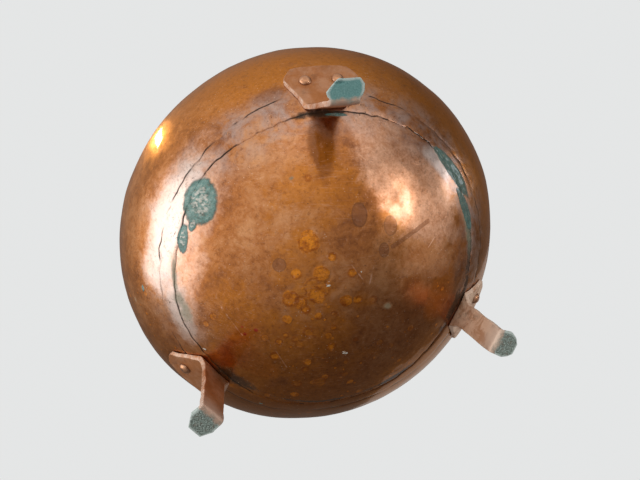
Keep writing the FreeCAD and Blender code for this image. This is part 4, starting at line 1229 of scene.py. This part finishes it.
# Soft lights: name, direction from the boiler's middle, distance, width, height, power and colour.
WHITE = (1.0, 1.0, 1.0)
LIGHTS = (
    ("left_window", (-0.05, 0.95, -0.16), 1.1, 0.90, 0.80, 3.1, (1.0, 0.99, 0.98)),
    ("left_strip", (-0.36, 0.60, 0.72), 1.2, 0.07, 0.32, 2.2, (0.93, 0.97, 1.0)),
    ("overhead", (-0.80, -0.12, -0.56), 1.0, 0.85, 0.5, 0.5, (1.0, 0.97, 0.93)),
    ("right_lamp", (-0.30, -0.66, -0.69), 1.0, 0.16, 0.16, 0.75, (1.0, 0.97, 0.92)),
    ("right_window", (-0.25, -0.96, -0.10), 1.2, 0.20, 0.30, 0.9, (0.86, 0.93, 1.0)),
    ("right_fill", (0.05, -0.86, -0.50), 1.0, 0.6, 0.6, 0.55, (1.0, 0.95, 0.9)),
    ("top_soft", (0.25, 0.0, 1.0), 1.7, 0.6, 0.6, 6.0, WHITE),
    ("side_soft", (0.8, -0.8, 0.6), 2.2, 1.6, 1.6, 3.0, WHITE),
)


def studio_lights(unlit):
    """Soft rectangular lights that face the boiler's middle; those below it leave the floor alone."""
    for name, towards, distance, width, height, power, colour in LIGHTS:
        data = bpy.data.lights.new(name, "AREA")
        data.shape = "RECTANGLE"
        data.size, data.size_y = width, height
        data.energy = power
        data.color = colour
        light = bpy.data.objects.new(name, data)
        bpy.context.scene.collection.objects.link(light)
        direction = Vector(towards).normalized()
        light.location = BODY_MIDDLE + direction * distance
        light.rotation_mode = "QUATERNION"
        light.rotation_quaternion = direction.to_track_quat("Z", "Y")
        light.visible_camera = False
        if direction.z < 0.0:
            light.light_linking.receiver_collection = unlit


# What the copper mirrors: the room's dark and light ends, which way it gets lighter, and over what span.
ROOM_DARK = (0.155, 0.140, 0.130)
ROOM_LIGHT = (0.90, 0.86, 0.82)
ROOM_LEAN = (-0.5, 0.5, -0.28)
ROOM_SPAN = (-0.20, 0.70)


def pale_world():
    """A pale backdrop for the camera; the copper mirrors a dim room, lighter behind and on the left."""
    world = bpy.data.worlds.new("studio")
    bpy.context.scene.world = world
    world.use_nodes = True
    nodes, links = world.node_tree.nodes, world.node_tree.links
    nodes.clear()
    seen = nodes.new("ShaderNodeBackground")
    seen.inputs["Color"].default_value = (0.78, 0.79, 0.79, 1.0)
    room = nodes.new("ShaderNodeBackground")
    heading = nodes.new("ShaderNodeTexCoord")
    lean = nodes.new("ShaderNodeVectorMath")
    lean.operation = "DOT_PRODUCT"
    lean.inputs[1].default_value = ROOM_LEAN
    shade = nodes.new("ShaderNodeValToRGB")
    for point, (where, colour) in zip(shade.color_ramp.elements, ((0.0, ROOM_DARK), (1.0, ROOM_LIGHT))):
        point.position = where
        point.color = (*colour, 1.0)
    spread = nodes.new("ShaderNodeMapRange")
    spread.inputs["From Min"].default_value, spread.inputs["From Max"].default_value = ROOM_SPAN
    links.new(heading.outputs["Generated"], lean.inputs[0])
    links.new(lean.outputs["Value"], spread.inputs["Value"])
    links.new(spread.outputs["Result"], shade.inputs["Fac"])
    links.new(shade.outputs["Color"], room.inputs["Color"])
    ray = nodes.new("ShaderNodeLightPath")
    mixed = nodes.new("ShaderNodeMixShader")
    output = nodes.new("ShaderNodeOutputWorld")
    links.new(ray.outputs["Is Camera Ray"], mixed.inputs["Fac"])
    links.new(room.outputs["Background"], mixed.inputs[1])
    links.new(seen.outputs["Background"], mixed.inputs[2])
    links.new(mixed.outputs["Shader"], output.inputs["Surface"])


# The camera's place in metres, its line of sight, its upward direction and its lens in millimetres.
CAMERA_PLACE = (-0.0930, 0.0621, -0.2805)
CAMERA_LOOKS = (0.2166, -0.1609, 0.9629)
CAMERA_UP = (-0.9760, -0.0589, 0.2097)
CAMERA_LENS = 29.8


def camera():
    """The photographer's view of the underside, nearly along the axis."""
    data = bpy.data.cameras.new("camera")
    data.lens = CAMERA_LENS
    data.sensor_width = 36.0
    data.clip_start = 0.01
    eye = bpy.data.objects.new("camera", data)
    bpy.context.scene.collection.objects.link(eye)
    back = -Vector(CAMERA_LOOKS).normalized()
    right = Vector(CAMERA_UP).cross(back).normalized()
    up = back.cross(right)
    turn = Matrix((right, up, back)).transposed()
    eye.matrix_world = Matrix.Translation(Vector(CAMERA_PLACE)) @ turn.to_4x4()
    bpy.context.scene.camera = eye


# ---- the whole scene ----

camera()
copper = boiler_copper()
strap = foot_copper()
rivets = rivet_copper()
bottom_bowl(copper)
belly(copper)
for foot in FEET:
    strap_foot(foot, strap)
foot_rivets(rivets)
dress_cad_nodes({
    "boiler_copper": worn_copper("shoulder_copper", 13.0, 0.5),
    "head_copper": worn_copper("head_copper", 11.0, 0.4),
    "foot_copper": strap,
    "rivet_copper": old_brass("plain_rivets", (0.62, 0.32, 0.17), (0.25, 0.11, 0.06)),
    "handle_brass": old_brass("handle_brass", (0.52, 0.36, 0.15), (0.22, 0.13, 0.055)),
    "finial_brass": old_brass("finial_brass", (0.62, 0.44, 0.18), (0.28, 0.17, 0.07)),
    "packing": linen_packing(),
})
unlit_floor = pale_floor()
studio_lights(unlit_floor)
pale_world()
bpy.context.scene.view_settings.view_transform = "Standard"
